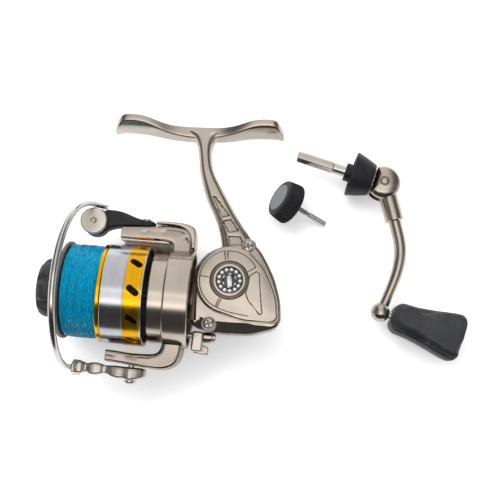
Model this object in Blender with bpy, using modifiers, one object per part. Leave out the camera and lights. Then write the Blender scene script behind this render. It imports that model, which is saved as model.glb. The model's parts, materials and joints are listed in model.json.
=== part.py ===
"""Pocket spinning reel, laid on its left side with the folding handle taken off beside it.

Reel frame: the spool axis runs along X with the spool towards -X, the foot lies towards +Y and
the crank axis is parallel to Z. All lengths are in metres.
"""

import math

import bmesh
import bpy
from mathutils import Vector

# Overall layout
CRANK_OFFSET = 0.0062
REST_HEIGHT = 0.0160
CLEARANCE = 0.0003
OVERRUN = 0.0010
FINE_BEVEL = 0.0002
SOFT_BEVEL = 0.0006

# Body case
RING_RADIUS = 0.0110
CASE_WALL = 0.0011
CASE_LEFT_DEPTH = 0.0092
CASE_PARTING = 0.0040
CASE_BEVEL = 0.0009
LEFT_SCREW_HOLE_RADIUS = 0.0022
CASE_FRONT = 0.0109
CASE_TAIL = 0.0168
CASE_BELLY = 0.0098
LEFT_BOSS_RADIUS = 0.0062
LEFT_BORE_RADIUS = 0.0050
LEFT_BORE_DEPTH = 0.0034
LEFT_BUSH_LENGTH = 0.0040
NECK_RADIUS = 0.0058
NECK_LENGTH = 0.0022

# Side cover
COVER_LEDGE = 0.0078
COVER_TOP = 0.0088
DOME_BEVEL = 0.0010
STUD_SHOULDER_RADIUS = 0.0021
COVER_ROOF = 0.0010
DOME_RISE = 0.0016
DOME_RADIUS = 0.0106
COVER_SEAT_RADIUS = 0.0058
COVER_GROOVE_RADIUS = 0.0066
COVER_GROOVE_DEPTH = 0.0008
COVER_BEVEL = 0.0007
COVER_EAR_RADIUS = 0.0026
EAR_X = 0.0049
EAR_Y = 0.0180
LOW_SCREW_X = 0.0052
LOW_SCREW_Y = 0.0068
SCREW_HEAD_RADIUS = 0.0016
SCREW_HEAD_HEIGHT = 0.0008
SCREW_SHANK_RADIUS = 0.0008
SCREW_LENGTH = 0.0065
SCREW_CROSS_LENGTH = 0.0019
SCREW_CROSS_WIDTH = 0.0004
SCREW_CROSS_DEPTH = 0.0004
SCREW_SEAT_DEPTH = 0.0008
SCREW_TWIST = math.radians(20)

# Stem and foot
STEM_HALF_DEPTH = 0.0038
STEM_BEVEL = 0.0008
POCKET_DEPTH = 0.0011
FOOT_LENGTH = 0.0540
FOOT_HEIGHT = 0.0563
FOOT_MIDDLE_X = 0.0143
FOOT_TILT = math.radians(2.4)
FOOT_PAD_HALF_WIDTH = 0.0066
FOOT_WAIST_HALF_WIDTH = 0.0030
FOOT_PAD_THICKNESS = 0.0017
FOOT_WAIST_THICKNESS = 0.0042
FOOT_PAD_RISE = 0.0028

# Crank bearing in the cover
BEARING_OUTER_RADIUS = 0.0050
BEARING_RACE_WALL = 0.0004
BEARING_WIDTH = 0.0020
BEARING_BALL_RADIUS = 0.0003
BEARING_BALLS = 10

# Drive gear on its hexagon-bored tube
CRANK_TUBE_RADIUS = 0.0034
HEX_ACROSS_FLATS = 0.0036
HEX_FIT = 0.0002
GEAR_RADIUS = 0.0094
GEAR_TOOTH_INNER_RADIUS = 0.0071
GEAR_BACK = 0.0056
GEAR_FACE = 0.0031
GEAR_TOOTH_HEIGHT = 0.0007
GEAR_TOOTH_WIDTH = 0.0004
GEAR_TEETH = 40
SPUR_TEETH = 20
SPUR_MODULE = 0.000396
SPUR_BOTTOM = 0.0030
SPUR_WIDTH = 0.0016
SPUR_TIP_SHARE = 0.75
SPUR_ROOT_SHARE = 1.15
SPUR_FOOT_SHARE = 0.52
SPUR_CREST_SHARE = 0.22
GEAR_WEB_SHARE = 0.5
TUBE_JOIN_SHARE = 0.9
TUBE_LEFT_END = 0.0100
TUBE_RIGHT_END = 0.0096

# Pinion and rotor nut
PINION_TEETH = 8
PINION_TIP_RADIUS = 0.00285
PINION_ROOT_RADIUS = 0.0021
PINION_SLEEVE_RADIUS = 0.0023
PINION_BORE_RADIUS = 0.0015
PINION_TOOTH_SHARE = 0.34
PINION_FOOT_SHARE = 1.25
PINION_STATIONS = 7
PINION_TOOTH_REAR = 0.0026
PINION_TOOTH_FRONT = 0.0078
PINION_FRONT = 0.0252
PINION_BEARING_RADIUS = 0.0046
PINION_BEARING_WIDTH = 0.0022
NUT_ACROSS_FLATS = 0.0074
NUT_WIDTH = 0.0018

# Oscillating gear and slider
OSCILLATING_TEETH = 32
OSCILLATING_BORE_RADIUS = 0.0016
STUD_RADIUS = 0.0013
ECCENTRIC = 0.00275
ECCENTRIC_PIN_RADIUS = 0.0009
ECCENTRIC_PIN_DROP = 0.0007
SLIDER_HALF_WIDTH = 0.0019
SLIDER_HALF_LENGTH = 0.0042
SLIDER_BOTTOM = 0.0022
SLIDER_TOP = 0.0020
SLIDER_SLOT_DEPTH = 0.0007
SHAFT_RADIUS = 0.0012
SHAFT_REAR_STUB = 0.0010

# Rotor
ROTOR_BACK = 0.0116
ROTOR_BAND_LENGTH = 0.0077
ROTOR_STEP = ROTOR_BACK + ROTOR_BAND_LENGTH
ROTOR_NOSE_LENGTH = 0.0047
ROTOR_FRONT = ROTOR_STEP + ROTOR_NOSE_LENGTH
ROTOR_WALL = 0.0012
PAWL_BELOW_CASE = 0.0014
PAWL_AXIS_DROP = CASE_BELLY + PAWL_BELOW_CASE
PAWL_ROOM = 0.0031
ROTOR_RADIUS = PAWL_AXIS_DROP + PAWL_ROOM + ROTOR_WALL
ROTOR_STEP_RISE = 0.0009
ROTOR_FRONT_RADIUS = ROTOR_RADIUS - ROTOR_STEP_RISE
ROTOR_WEB_SETBACK = 0.0016
ROTOR_WEB_FRONT = ROTOR_FRONT - ROTOR_WEB_SETBACK
ROTOR_WEB_THICKNESS = 0.0016
ROTOR_WEB_BACK = ROTOR_WEB_FRONT - ROTOR_WEB_THICKNESS
ROTOR_HUB_RADIUS = 0.0046
ROTOR_HUB_LENGTH = 0.0038
ROTOR_HUB_BACK = ROTOR_WEB_BACK - ROTOR_HUB_LENGTH

# Skirt and bands of the spool, which run over the rotor's nose
SKIRT_RUNNING_GAP = 0.0004
SKIRT_INNER_RADIUS = ROTOR_FRONT_RADIUS + SKIRT_RUNNING_GAP
SKIRT_WALL = 0.0009
SKIRT_RADIUS = SKIRT_INNER_RADIUS + SKIRT_WALL
SKIRT_BACK = ROTOR_STEP + 2 * ECCENTRIC + 2 * CLEARANCE
SLOTTED_LENGTH = 0.0058
BAND_BACK = SKIRT_BACK + SLOTTED_LENGTH
BAND_LENGTH = 0.0069
BAND_SINK = 0.0001
BAND_RADIUS = SKIRT_RADIUS - BAND_SINK
BAND_WALL = 0.0007
BAND_SEAT_RADIUS = BAND_RADIUS - BAND_WALL
SKIRT_FRONT_INNER_RADIUS = BAND_SEAT_RADIUS - SKIRT_WALL
RIM_RADIUS = SKIRT_RADIUS - CLEARANCE
RIM_WIDTH = 0.0015
BAY_BACK = BAND_BACK + BAND_LENGTH + RIM_WIDTH
BAY_LENGTH = 0.0110
LIP_THICKNESS = 0.0014
SPOOL_FRONT = BAY_BACK + BAY_LENGTH + LIP_THICKNESS
LIP_SINK = 0.0005
LIP_RADIUS = SKIRT_RADIUS - LIP_SINK
SKIRT_SLOTS = 11
SLOT_LENGTH = 0.0042
SLOT_WIDTH = 0.0018
SLOT_SLANT = math.radians(-35)
SLOT_PHASE = math.radians(0)

# Line, arbor and hub of the spool
HUB_RADIUS = 0.0046
HUB_LENGTH = 0.0030
WASHER_ROOM_DEPTH = 0.0042
POCKET_BACK = SPOOL_FRONT - WASHER_ROOM_DEPTH
WASHER_RADIUS = 0.0070
WASHER_THICKNESS = 0.0006
WASHERS = 3
WASHER_RIM_GAP = 0.0004
POCKET_RADIUS = WASHER_RADIUS + WASHER_RIM_GAP
LINE_BELOW_LIP = 0.0015
LINE_CORE_RADIUS = LIP_RADIUS - LINE_BELOW_LIP
LINE_WOUND_DEPTH = 0.0034
ARBOR_RADIUS = LINE_CORE_RADIUS - LINE_WOUND_DEPTH
LINE_RADIUS = 0.000225
LINE_LOOPS = 11
LINE_LOOP_POINTS = 18

# Drag knob
KNOB_GAP = 0.0018
KNOB_BACK = SPOOL_FRONT + KNOB_GAP
KNOB_LENGTH = 0.0057
KNOB_FRONT = KNOB_BACK + KNOB_LENGTH
KNOB_RADIUS = 0.0095
KNOB_STEM_RADIUS = 0.0064
KNOB_GRIPS = 7
KNOB_GRIP_RADIUS = 0.0022
KNOB_NUT_ACROSS_FLATS = 0.0050
KNOB_NUT_DEPTH = 0.0032
KNOB_NUT_START = 0.0006
KNOB_DISH_SHARE = 0.5
KNOB_EDGE = 0.0012
KNOB_GRIP_SHARE = 0.45
KNOB_GRIP_LENGTH = 0.0046
SHAFT_END_SETBACK = 0.0035
SHAFT_FRONT = KNOB_FRONT - SHAFT_END_SETBACK

# Rotor arms: each clears the skirt, and the bail's arm, lever and cover are set on them
BAIL_PIVOT_X = 0.0285
BAIL_HUB_RADIUS = 0.0030
ARM_HALF_DEPTH = 0.0048
ARM_BEVEL = 0.0006
ARM_ROOT_DEPTH = 0.0010
ARM_BACK_INSET = 0.0014
UPPER_ARM_BACK = ROTOR_BACK + ARM_BACK_INSET
UPPER_ARM_NOSE = 0.0068
UPPER_ARM_FRONT = BAIL_PIVOT_X + UPPER_ARM_NOSE
ARM_RUNNING_GAP = 0.0013
UPPER_ARM_INNER = SKIRT_RADIUS + ARM_RUNNING_GAP
UPPER_ARM_LIFT = 0.0010
UPPER_ARM_NOSE_INNER = UPPER_ARM_INNER + UPPER_ARM_LIFT
UPPER_ARM_THICKNESS = 0.0024
UPPER_ARM_OUTER = UPPER_ARM_NOSE_INNER + UPPER_ARM_THICKNESS
UPPER_ARM_SADDLE = 0.0012
UPPER_ARM_SHOULDER = UPPER_ARM_OUTER + UPPER_ARM_SADDLE
LOWER_ARM_NOSE = 0.0078
LOWER_ARM_FRONT = BAIL_PIVOT_X + LOWER_ARM_NOSE
LOWER_ARM_LIFT = 0.0014
LOWER_ARM_INNER = UPPER_ARM_INNER + LOWER_ARM_LIFT
LOWER_ARM_THICKNESS = 0.0026
LOWER_ARM_OUTER = LOWER_ARM_INNER + LOWER_ARM_THICKNESS
LOWER_ARM_SWELL = 0.0014
LOWER_ARM_BULGE = LOWER_ARM_OUTER + LOWER_ARM_SWELL
LOWER_ARM_ELBOW = 0.0060
LOWER_ARM_RISE_LENGTH = 0.0029
LOWER_ARM_BACK_X = ROTOR_STEP + LOWER_ARM_RISE_LENGTH
ARM_COVER_FRONT = BAIL_PIVOT_X - BAIL_HUB_RADIUS - 2 * CLEARANCE
ARM_COVER_HEIGHT = 0.0029
ARM_COVER_OUTER = UPPER_ARM_SHOULDER + ARM_COVER_HEIGHT
ARM_COVER_THICKNESS = 0.0006
BAIL_SPRING_WIRE = 0.00018
BAIL_SPRING_RADIUS = 0.00062
BAIL_SPRING_CURLS = 6
BAIL_SPRING_POINTS = 6

# Bail
BAIL_WIRE_RADIUS = 0.00075
BAIL_ARM_INNER = UPPER_ARM_OUTER + CLEARANCE
BAIL_ARM_THICKNESS = 0.0029
BAIL_ARM_OUTER = BAIL_ARM_INNER + BAIL_ARM_THICKNESS
BAIL_ARM_HALF_DEPTH = 0.0030
WIRE_SEAT_SHARE = 0.86
BAIL_ARM_REACH = 0.0163
BAIL_EYE_X = BAIL_PIVOT_X + BAIL_ARM_REACH
BAIL_EYE_RISE = 0.0013
BAIL_EYE_Y = BAIL_ARM_INNER + BAIL_EYE_RISE
BAIL_EYE_RADIUS = 0.0042
BAIL_EYE_BOTTOM = 0.0034
BAIL_EYE_TOP = 0.0010
BAIL_NOSE_SETBACK = 0.0036
BAIL_ARM_NOSE = BAIL_EYE_X - BAIL_NOSE_SETBACK
ROLLER_RADIUS = 0.0030
ROLLER_WAIST_DEPTH = 0.0008
ROLLER_WAIST_RADIUS = ROLLER_RADIUS - ROLLER_WAIST_DEPTH
ROLLER_PIN_RADIUS = 0.0010
ROLLER_BORE_RADIUS = ROLLER_PIN_RADIUS + CLEARANCE
ROLLER_LENGTH = 0.0037
CAP_OVERHANG = 0.0010
CAP_RADIUS = ROLLER_RADIUS + CAP_OVERHANG
CAP_THICKNESS = 0.0014
CAP_DIMPLE_SHARE = 0.9
LEVER_INNER = LOWER_ARM_BULGE + CLEARANCE
LEVER_THICKNESS = 0.0025
LEVER_OUTER = LEVER_INNER + LEVER_THICKNESS
LEVER_REACH = 0.0177
LEVER_FRONT = BAIL_PIVOT_X + LEVER_REACH
LEVER_TAIL = 0.0049
LEVER_BACK = BAIL_PIVOT_X - LEVER_TAIL
LEVER_HALF_DEPTH = 0.0026
LEVER_BOSS_RADIUS = 0.0036
LEVER_WAIST_SHARE = 0.55
WIRE_NUT_RADIUS = 0.0021
WIRE_NUT_LENGTH = 0.0024
WIRE_TOP_X = BAIL_ARM_NOSE + CLEARANCE
WIRE_SEAT_RISE = 0.0038
WIRE_TOP_Y = BAIL_ARM_OUTER + WIRE_SEAT_RISE
WIRE_LOW_REACH = 0.0014
WIRE_LOW_X = LEVER_FRONT + WIRE_LOW_REACH
WIRE_LOW_SHARE = 0.48
WIRE_LOW_Y = LEVER_INNER + LEVER_THICKNESS * WIRE_LOW_SHARE
WIRE_TAIL = 0.0020
WIRE_BOW = 0.0021
WIRE_FRONT_X = WIRE_LOW_X + WIRE_BOW
WIRE_HEIGHT = 0.0250
WIRE_POINTS = 25
WIRE_FORWARD_SHARE = 0.5
WIRE_UPWARD_SHARE = 0.85
PIVOT_SCREW_RADIUS = 0.0011
PIVOT_HEAD_RADIUS = 0.0019
PIVOT_HEAD_HEIGHT = 0.0009

# Anti-reverse ratchet, lever and pawl, inside the rotor's cup
RATCHET_TEETH = 12
RATCHET_GAP = 0.0030
RATCHET_TIP_RADIUS = PAWL_AXIS_DROP - RATCHET_GAP
RATCHET_TOOTH_HEIGHT = 0.0012
RATCHET_ROOT_RADIUS = RATCHET_TIP_RADIUS - RATCHET_TOOTH_HEIGHT
RATCHET_SETBACK = 0.0010
RATCHET_FRONT = ROTOR_HUB_BACK - RATCHET_SETBACK
RATCHET_WIDTH = 0.0014
RATCHET_FOOT_SHARE = 0.45
RATCHET_CREST_SHARE = 0.15
PAWL_RANGE_DEG = 25
PAWL_ARM = 0.0050
PAWL_REST_ANGLE = math.radians(58)
PAWL_BOSS_RADIUS = 0.0017
PAWL_SHAFT_RADIUS = 0.0008
PAWL_ROOT_SHARE = 0.8
PAWL_TIP_HALF_WIDTH = 0.00035
LEVER_BLOCK_FRONT = 0.0104
LEVER_BLOCK_BACK = 0.0071
LEVER_BLOCK_RADIUS = 0.0018
LEVER_TAB_LENGTH = 0.0048
LEVER_TAB_THICKNESS = 0.0012
LUG_RADIUS = 0.0019
LUG_BACK = 0.0042
LUG_WEB_SHARE = 0.7
CIRCLIP_RADIUS = 0.0014
CIRCLIP_WIDTH = 0.0005

# Handle laid beside the reel
SHAFT_TIP_X = 0.0186
SHAFT_TIP_Y = 0.0524
KNUCKLE_X = 0.0478
KNUCKLE_Y = 0.0452
HEX_LENGTH = 0.0127
ROUND_SHAFT_RADIUS = 0.0016
COLLAR_RIM_RADIUS = 0.0075
COLLAR_NECK_RADIUS = 0.0053
COLLAR_LENGTH = 0.0074
COLLAR_WALL = 0.0012
COLLAR_BULGE = 0.0003
COLLAR_RECESS = 0.0024
COLLAR_START = 0.0037
COLLAR_SOCKET_DEPTH = 0.0026
SLEEVE_LENGTH = 0.0022
SLEEVE_RADIUS = 0.0031
KNUCKLE_RADIUS = 0.0056
KNUCKLE_HALF_DEPTH = 0.0042
KNUCKLE_FLAT = 0.0033
TONGUE_HALF_DEPTH = 0.0014
TONGUE_RADIUS = 0.0029
KNUCKLE_PIN_RADIUS = 0.0010
FOLD_RANGE_DEG = 60
ARM_ROD_RADIUS = 0.0019
ARM_SOCKET_RADIUS = 0.0028
ARM_BALL_RADIUS = 0.0031
ARM_BALL_X = 0.0495
ARM_BALL_Y = 0.0020
ROD_BOW = 0.0079
ROD_SMOOTHING = 3
KNOB_AXIS_ANGLE = math.radians(-14.5)
PADDLE_START = 0.0038
PADDLE_LENGTH = 0.0250
PADDLE_NECK_HALF_WIDTH = 0.0043
PADDLE_BASE_HALF_WIDTH = 0.0064
PADDLE_END_HALF_WIDTH = 0.0080
PADDLE_HALF_THICKNESS = 0.0048
PADDLE_BEVEL = 0.0014
PADDLE_CORNER = 0.0045
PADDLE_WAIST = 0.0004
PADDLE_NECK_SHARE = 0.06
SPINDLE_RADIUS = 0.0013
SPINDLE_HEAD_RADIUS = 0.0023
SPINDLE_HEAD_THICKNESS = 0.0010
SPINDLE_RECESS = 0.0018

# Cap screw of the handle
CAP_SCREW_X = 0.0183
CAP_SCREW_Y = 0.0354
CAP_SCREW_ANGLE = math.radians(-20)
CAP_SCREW_BACK_RADIUS = 0.0075
CAP_SCREW_FACE_RADIUS = 0.0063
CAP_SCREW_LENGTH = 0.0058
CAP_SCREW_RIBS = 20
CAP_SCREW_RIB_DEPTH = 0.0004
CAP_RIB_FOOT_SHARE = 0.75
CAP_RIB_CREST_SHARE = 0.55
CAP_SHANK_SEAT_RADIUS = 0.0028
CAP_DISC_RADIUS = 0.0046
CAP_DISC_THICKNESS = 0.0008
CAP_BACK_LIP = 0.0008
CAP_SHANK_STEP_SHARE = 0.45
CAP_SHANK_STEP = 0.0002
CAP_SHANK_RADIUS = 0.0010
CAP_SHANK_LENGTH = 0.0128

STEPS = 16
BIG_STEPS = 24
SMALL_STEPS = 10

# Worked out from the sizes above
HANDLE_HEIGHT = COLLAR_RIM_RADIUS
HANDLE_ANGLE = math.atan2(KNUCKLE_Y - SHAFT_TIP_Y, KNUCKLE_X - SHAFT_TIP_X)
HANDLE_REACH = math.hypot(KNUCKLE_Y - SHAFT_TIP_Y, KNUCKLE_X - SHAFT_TIP_X)
CAP_SCREW_TILT = math.atan2(CAP_SCREW_BACK_RADIUS - CAP_SHANK_RADIUS, CAP_SHANK_LENGTH)

# Finishes: base colour, roughness, metallic
FINISHES = {
    "black_nickel": ((0.52, 0.46, 0.41), 0.22, 1.0),
    "bright_steel": ((0.78, 0.77, 0.75), 0.18, 1.0),
    "satin_champagne": ((0.72, 0.66, 0.58), 0.35, 1.0),
    "gold_anodised": ((0.90, 0.55, 0.08), 0.30, 1.0),
    "silver_brushed": ((0.66, 0.68, 0.72), 0.32, 1.0),
    "black_plastic": ((0.035, 0.036, 0.040), 0.45, 0.0),
    "zinc_alloy": ((0.60, 0.60, 0.60), 0.45, 1.0),
    "brass": ((0.72, 0.53, 0.22), 0.30, 1.0),
    "oiled_bronze": ((0.45, 0.30, 0.17), 0.40, 1.0),
    "blue_line": ((0.0, 0.34, 0.62), 0.25, 0.0),
    "felt": ((0.30, 0.28, 0.25), 0.90, 0.0),
    "grey_disc": ((0.42, 0.43, 0.44), 0.50, 0.2),
}

TURN_X = (0, math.pi / 2, 0)
TURN_Y = (-math.pi / 2, 0, 0)


def clear_scene():
    """Remove whatever the scene holds."""
    for obj in list(bpy.data.objects):
        bpy.data.objects.remove(obj, do_unlink=True)


def make_collection(name):
    """A new collection linked to the scene."""
    made = bpy.data.collections.new(name)
    bpy.context.scene.collection.children.link(made)
    return made


def finish(name, finish_name):
    """A Principled material of the sub-part's own."""
    color, roughness, metallic = FINISHES[finish_name]
    made = bpy.data.materials.new(name + "_finish")
    made.use_nodes = True
    shader = made.node_tree.nodes["Principled BSDF"]
    shader.inputs["Base Color"].default_value = (*color, 1)
    shader.inputs["Roughness"].default_value = roughness
    shader.inputs["Metallic"].default_value = metallic
    made.diffuse_color = (*color, 1)
    return made


def empty(name, location, parent=None, rotation=(0, 0, 0)):
    """An empty that carries the pieces of one axis."""
    made = bpy.data.objects.new(name, None)
    made.empty_display_size = RING_RADIUS
    made.location = location
    made.rotation_euler = rotation
    made.parent = parent
    PARTS.objects.link(made)
    return made


def place(name, data, parent, location=(0, 0, 0), rotation=(0, 0, 0)):
    """Link a piece and put it in its place under its parent."""
    made = bpy.data.objects.new(name, data)
    made.parent = parent
    made.location = location
    made.rotation_euler = rotation
    PARTS.objects.link(made)
    return made


def name_piece(piece, name, finish_name):
    """Give a finished piece its name and finish, and smooth its round faces."""
    piece.name = name
    piece.data.name = name
    piece.data.materials.clear()
    piece.data.materials.append(finish(name, finish_name))
    piece.data.shade_smooth()
    piece.data.set_sharp_from_angle(angle=math.radians(35))
    return piece


def applied(piece):
    """Turn a curve or a mesh with modifiers into a plain closed mesh."""
    bpy.context.view_layer.update()
    graph = bpy.context.evaluated_depsgraph_get()
    data = bpy.data.meshes.new_from_object(piece.evaluated_get(graph))
    shape = bmesh.new()
    shape.from_mesh(data)
    bmesh.ops.remove_doubles(shape, verts=shape.verts, dist=OVERRUN / 1000)
    bmesh.ops.recalc_face_normals(shape, faces=shape.faces)
    shape.to_mesh(data)
    shape.free()
    made = bpy.data.objects.new(piece.name, data)
    made.parent = piece.parent
    made.location = piece.location
    made.rotation_euler = piece.rotation_euler
    PARTS.objects.link(made)
    bpy.data.objects.remove(piece, do_unlink=True)
    return made


def turned(outline, parent, location=(0, 0, 0), rotation=(0, 0, 0), steps=STEPS):
    """A turned piece: a closed outline of (radius, height) points, screwed round local Z."""
    doubled_area = 0
    for (radius, height), (next_radius, next_height) in zip(outline, outline[1:] + outline[:1]):
        doubled_area += radius * next_height - next_radius * height
    ordered = outline if doubled_area < 0 else outline[::-1]
    on_axis = [i for i, (radius, height) in enumerate(ordered) if radius == 0]
    touching = bool(on_axis)
    if touching:
        while not (ordered[0][0] == 0 and ordered[-1][0] == 0):
            ordered = ordered[1:] + ordered[:1]
    shape = bmesh.new()
    points = [shape.verts.new((radius, 0, height)) for radius, height in ordered]
    for first, second in zip(points, points[1:]):
        shape.edges.new((first, second))
    if not touching:
        shape.edges.new((points[-1], points[0]))
    data = bpy.data.meshes.new("profile")
    shape.to_mesh(data)
    shape.free()
    made = place("turned", data, parent, location, rotation)
    screw = made.modifiers.new("turn", "SCREW")
    screw.axis = "Z"
    screw.angle = math.tau
    screw.steps = steps
    screw.render_steps = steps
    screw.use_merge_vertices = True
    screw.merge_threshold = OVERRUN / 1000
    return applied(made)


def cylinder(radius, length, parent, location=(0, 0, 0), rotation=(0, 0, 0), sides=STEPS, end_radius=None):
    """A cylinder or cone along local Z, from 0 to its length."""
    shape = bmesh.new()
    top = radius if end_radius is None else end_radius
    bmesh.ops.create_cone(shape, cap_ends=True, segments=sides, radius1=radius, radius2=top, depth=length)
    bmesh.ops.translate(shape, verts=shape.verts, vec=(0, 0, length / 2))
    data = bpy.data.meshes.new("cylinder")
    shape.to_mesh(data)
    shape.free()
    return place("cylinder", data, parent, location, rotation)


def box(low, high, parent, location=(0, 0, 0), rotation=(0, 0, 0)):
    """A box between two corners."""
    size = [b - a for a, b in zip(low, high)]
    middle = [(a + b) / 2 for a, b in zip(low, high)]
    shape = bmesh.new()
    bmesh.ops.create_cube(shape, size=1)
    bmesh.ops.scale(shape, vec=size, verts=shape.verts)
    bmesh.ops.translate(shape, vec=middle, verts=shape.verts)
    data = bpy.data.meshes.new("box")
    shape.to_mesh(data)
    shape.free()
    return place("box", data, parent, location, rotation)


def ball(radius, parent, location, segments=20, rings=12):
    """A sphere."""
    shape = bmesh.new()
    bmesh.ops.create_uvsphere(shape, u_segments=segments, v_segments=rings, radius=radius)
    data = bpy.data.meshes.new("ball")
    shape.to_mesh(data)
    shape.free()
    return place("ball", data, parent, location)


def plate(outlines, low, high, parent, location=(0, 0, 0), rotation=(0, 0, 0)):
    """A flat piece between two heights; the outlines after the first are its holes."""
    data = bpy.data.curves.new("plate", "CURVE")
    data.dimensions = "2D"
    data.fill_mode = "BOTH"
    data.extrude = (high - low) / 2
    for outline in outlines:
        spline = data.splines.new("POLY")
        spline.points.add(len(outline) - 1)
        spline.use_cyclic_u = True
        for point, (x, y) in zip(spline.points, outline):
            point.co = (x, y, 0, 1)
    made = applied(place("plate", data, parent))
    for vertex in made.data.vertices:
        vertex.co.z += (low + high) / 2
    made.location = location
    made.rotation_euler = rotation
    return made


def tube(points, radius, parent, resolution=2, location=(0, 0, 0)):
    """A round bar along a route."""
    data = bpy.data.curves.new("tube", "CURVE")
    data.dimensions = "3D"
    data.bevel_depth = radius
    data.bevel_resolution = resolution
    data.use_fill_caps = True
    spline = data.splines.new("POLY")
    spline.points.add(len(points) - 1)
    for point, place_on_route in zip(spline.points, points):
        point.co = (*place_on_route, 1)
    return applied(place("tube", data, parent, location))


def bevelled(piece, width, segments=1, angle=math.radians(40)):
    """Round the edges of a piece."""
    bevel = piece.modifiers.new("bevel", "BEVEL")
    bevel.width = width
    bevel.segments = segments
    bevel.limit_method = "ANGLE"
    bevel.angle_limit = angle
    return applied(piece)


def combined(piece, other, operation, solver="EXACT"):
    """Join, cut or intersect a piece with another, which is used up."""
    bpy.context.view_layer.update()
    boolean = piece.modifiers.new("boolean", "BOOLEAN")
    boolean.operation = operation
    boolean.solver = solver
    boolean.object = other
    made = applied(piece)
    bpy.data.objects.remove(other, do_unlink=True)
    return made


def cut(piece, *cutters):
    """Cut each cutter out of a piece."""
    for cutter in cutters:
        piece = combined(piece, cutter, "DIFFERENCE")
    return piece


def fused(piece, *others):
    """Join other solids to a piece."""
    for other in others:
        piece = combined(piece, other, "UNION")
    return piece


def grouped(pieces):
    """Put separate solids in one mesh, as loose copies that share a node."""
    first = pieces[0]
    shape = bmesh.new()
    bpy.context.view_layer.update()
    for piece in pieces:
        start = len(shape.verts)
        shape.from_mesh(piece.data)
        shape.verts.ensure_lookup_table()
        to_first = first.matrix_world.inverted() @ piece.matrix_world
        for vertex in shape.verts[start:]:
            vertex.co = to_first @ vertex.co
    shape.to_mesh(first.data)
    shape.free()
    for piece in pieces[1:]:
        bpy.data.objects.remove(piece, do_unlink=True)
    return first


def arc(centre, radius, start, end, count):
    """Points on an arc in a plane, from one angle to another."""
    points = []
    for step in range(count + 1):
        angle = start + (end - start) * step / count
        points.append((centre[0] + radius * math.cos(angle), centre[1] + radius * math.sin(angle)))
    return points


def hexagon(across_flats):
    """The corners of a hexagon with flats up and down."""
    corner = across_flats / math.sqrt(3)
    return arc((0, 0), corner, 0, math.tau * 5 / 6, 5)


def inset(outline, distance):
    """A convex outline moved inwards by one distance all round, for an outline drawn anticlockwise."""
    lines = []
    for start, end in zip(outline, outline[1:] + outline[:1]):
        along = (Vector(end) - Vector(start)).normalized()
        inward = Vector((-along.y, along.x))
        lines.append((Vector(start) + inward * distance, along))
    moved = []
    for (first_point, first_way), (second_point, second_way) in zip(lines[-1:] + lines[:-1], lines):
        crossing = first_way.cross(second_way)
        reach = (second_point - first_point).cross(second_way) / crossing
        moved.append(tuple(first_point + first_way * reach))
    return moved


def slot_outline(length, width, slant=0, count=3):
    """An outline with straight sides and half-round ends."""
    half = (length - width) / 2
    ends = arc((half, 0), width / 2, -math.pi / 2, math.pi / 2, count)
    ends += arc((-half, 0), width / 2, math.pi / 2, 3 * math.pi / 2, count)
    turned_points = []
    for x, y in ends:
        turned_x = x * math.cos(slant) - y * math.sin(slant)
        turned_y = x * math.sin(slant) + y * math.cos(slant)
        turned_points.append((turned_x, turned_y))
    return turned_points


def toothed_outline(teeth, tip, root, tooth_share, tip_share, phase=0):
    """The outline of a toothed wheel with straight-sided teeth."""
    points = []
    pitch = math.tau / teeth
    for tooth in range(teeth):
        middle = phase + tooth * pitch
        for radius, offset in (
            (root, -pitch * tooth_share / 2),
            (tip, -pitch * tip_share / 2),
            (tip, pitch * tip_share / 2),
            (root, pitch * tooth_share / 2),
        ):
            points.append((radius * math.cos(middle + offset), radius * math.sin(middle + offset)))
    return points


def circle(radius, count=STEPS, centre=(0, 0)):
    """Points on a full circle."""
    return arc(centre, radius, 0, math.tau * (count - 1) / count, count - 1)


# Shares of the tail length and the belly depth, anticlockwise from the belly
CASE_EDGE_SHARES = (
    (0.0, -1.0), (0.46, -0.97), (0.91, -0.72), (0.99, -0.62), (1.0, -0.50),
    (0.945, 0.235), (0.80, 1.03), (0.56, 1.59),
)
CASE_CORNER_SHARE = 0.18

# Shares of the tail length and the belly depth of the raised teardrop
DOME_EDGE_SHARES = ((0.30, -0.62), (0.85, -0.58), (0.93, -0.50), (0.95, -0.38), (0.88, 0.25), (0.66, 1.05))

# Shares of the ring radius and of the foot height along the two sides of the stem
STEM_LEFT_SHARES = (
    (-0.33, 0.275), (-0.345, 0.337), (-0.545, 0.458), (-0.93, 0.581), (-1.18, 0.725),
    (-1.25, 0.817), (-1.42, 0.905), (-1.70, 0.945),
)
STEM_RIGHT_SHARES = (
    (-0.65, 0.950), (-0.90, 0.88), (-0.765, 0.732), (-0.386, 0.619), (0.155, 0.451),
    (0.56, 0.382), (0.83, 0.285), (0.70, 0.20),
)

# Corners of the stem's three pockets, as the same shares
STEM_POCKET_SHARES = (
    ((-0.93, 0.640), (-0.62, 0.600), (-0.47, 0.545), (-0.66, 0.538)),
    ((-0.60, 0.525), (-0.42, 0.532), (-0.08, 0.468), (-0.42, 0.462)),
    ((-0.36, 0.448), (0.02, 0.452), (0.26, 0.402), (-0.22, 0.392)),
)

# Stations along half the foot: along, width, rise at the edge, thickness
FOOT_STATION_SHARES = (
    (0.0, 0.0, 0.0, 1.0), (0.16, 0.04, 0.0, 0.92), (0.32, 0.26, 0.15, 0.60), (0.48, 0.66, 0.60, 0.28),
    (0.64, 0.92, 0.95, 0.08), (0.80, 1.0, 1.0, 0.0), (0.92, 0.86, 1.0, 0.0), (1.0, 0.46, 0.9, 0.0),
)
FOOT_EDGE_THICKNESS_SHARE = 0.7

# Corners of the handle's rod: share of the way to the ball, share of the bow
ROD_SHARES = ((0.0, 0.0), (0.12, 0.22), (0.30, 0.62), (0.505, 1.0), (0.68, 0.89), (0.84, 0.59))
FOOT_STRIPS = 6


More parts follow.
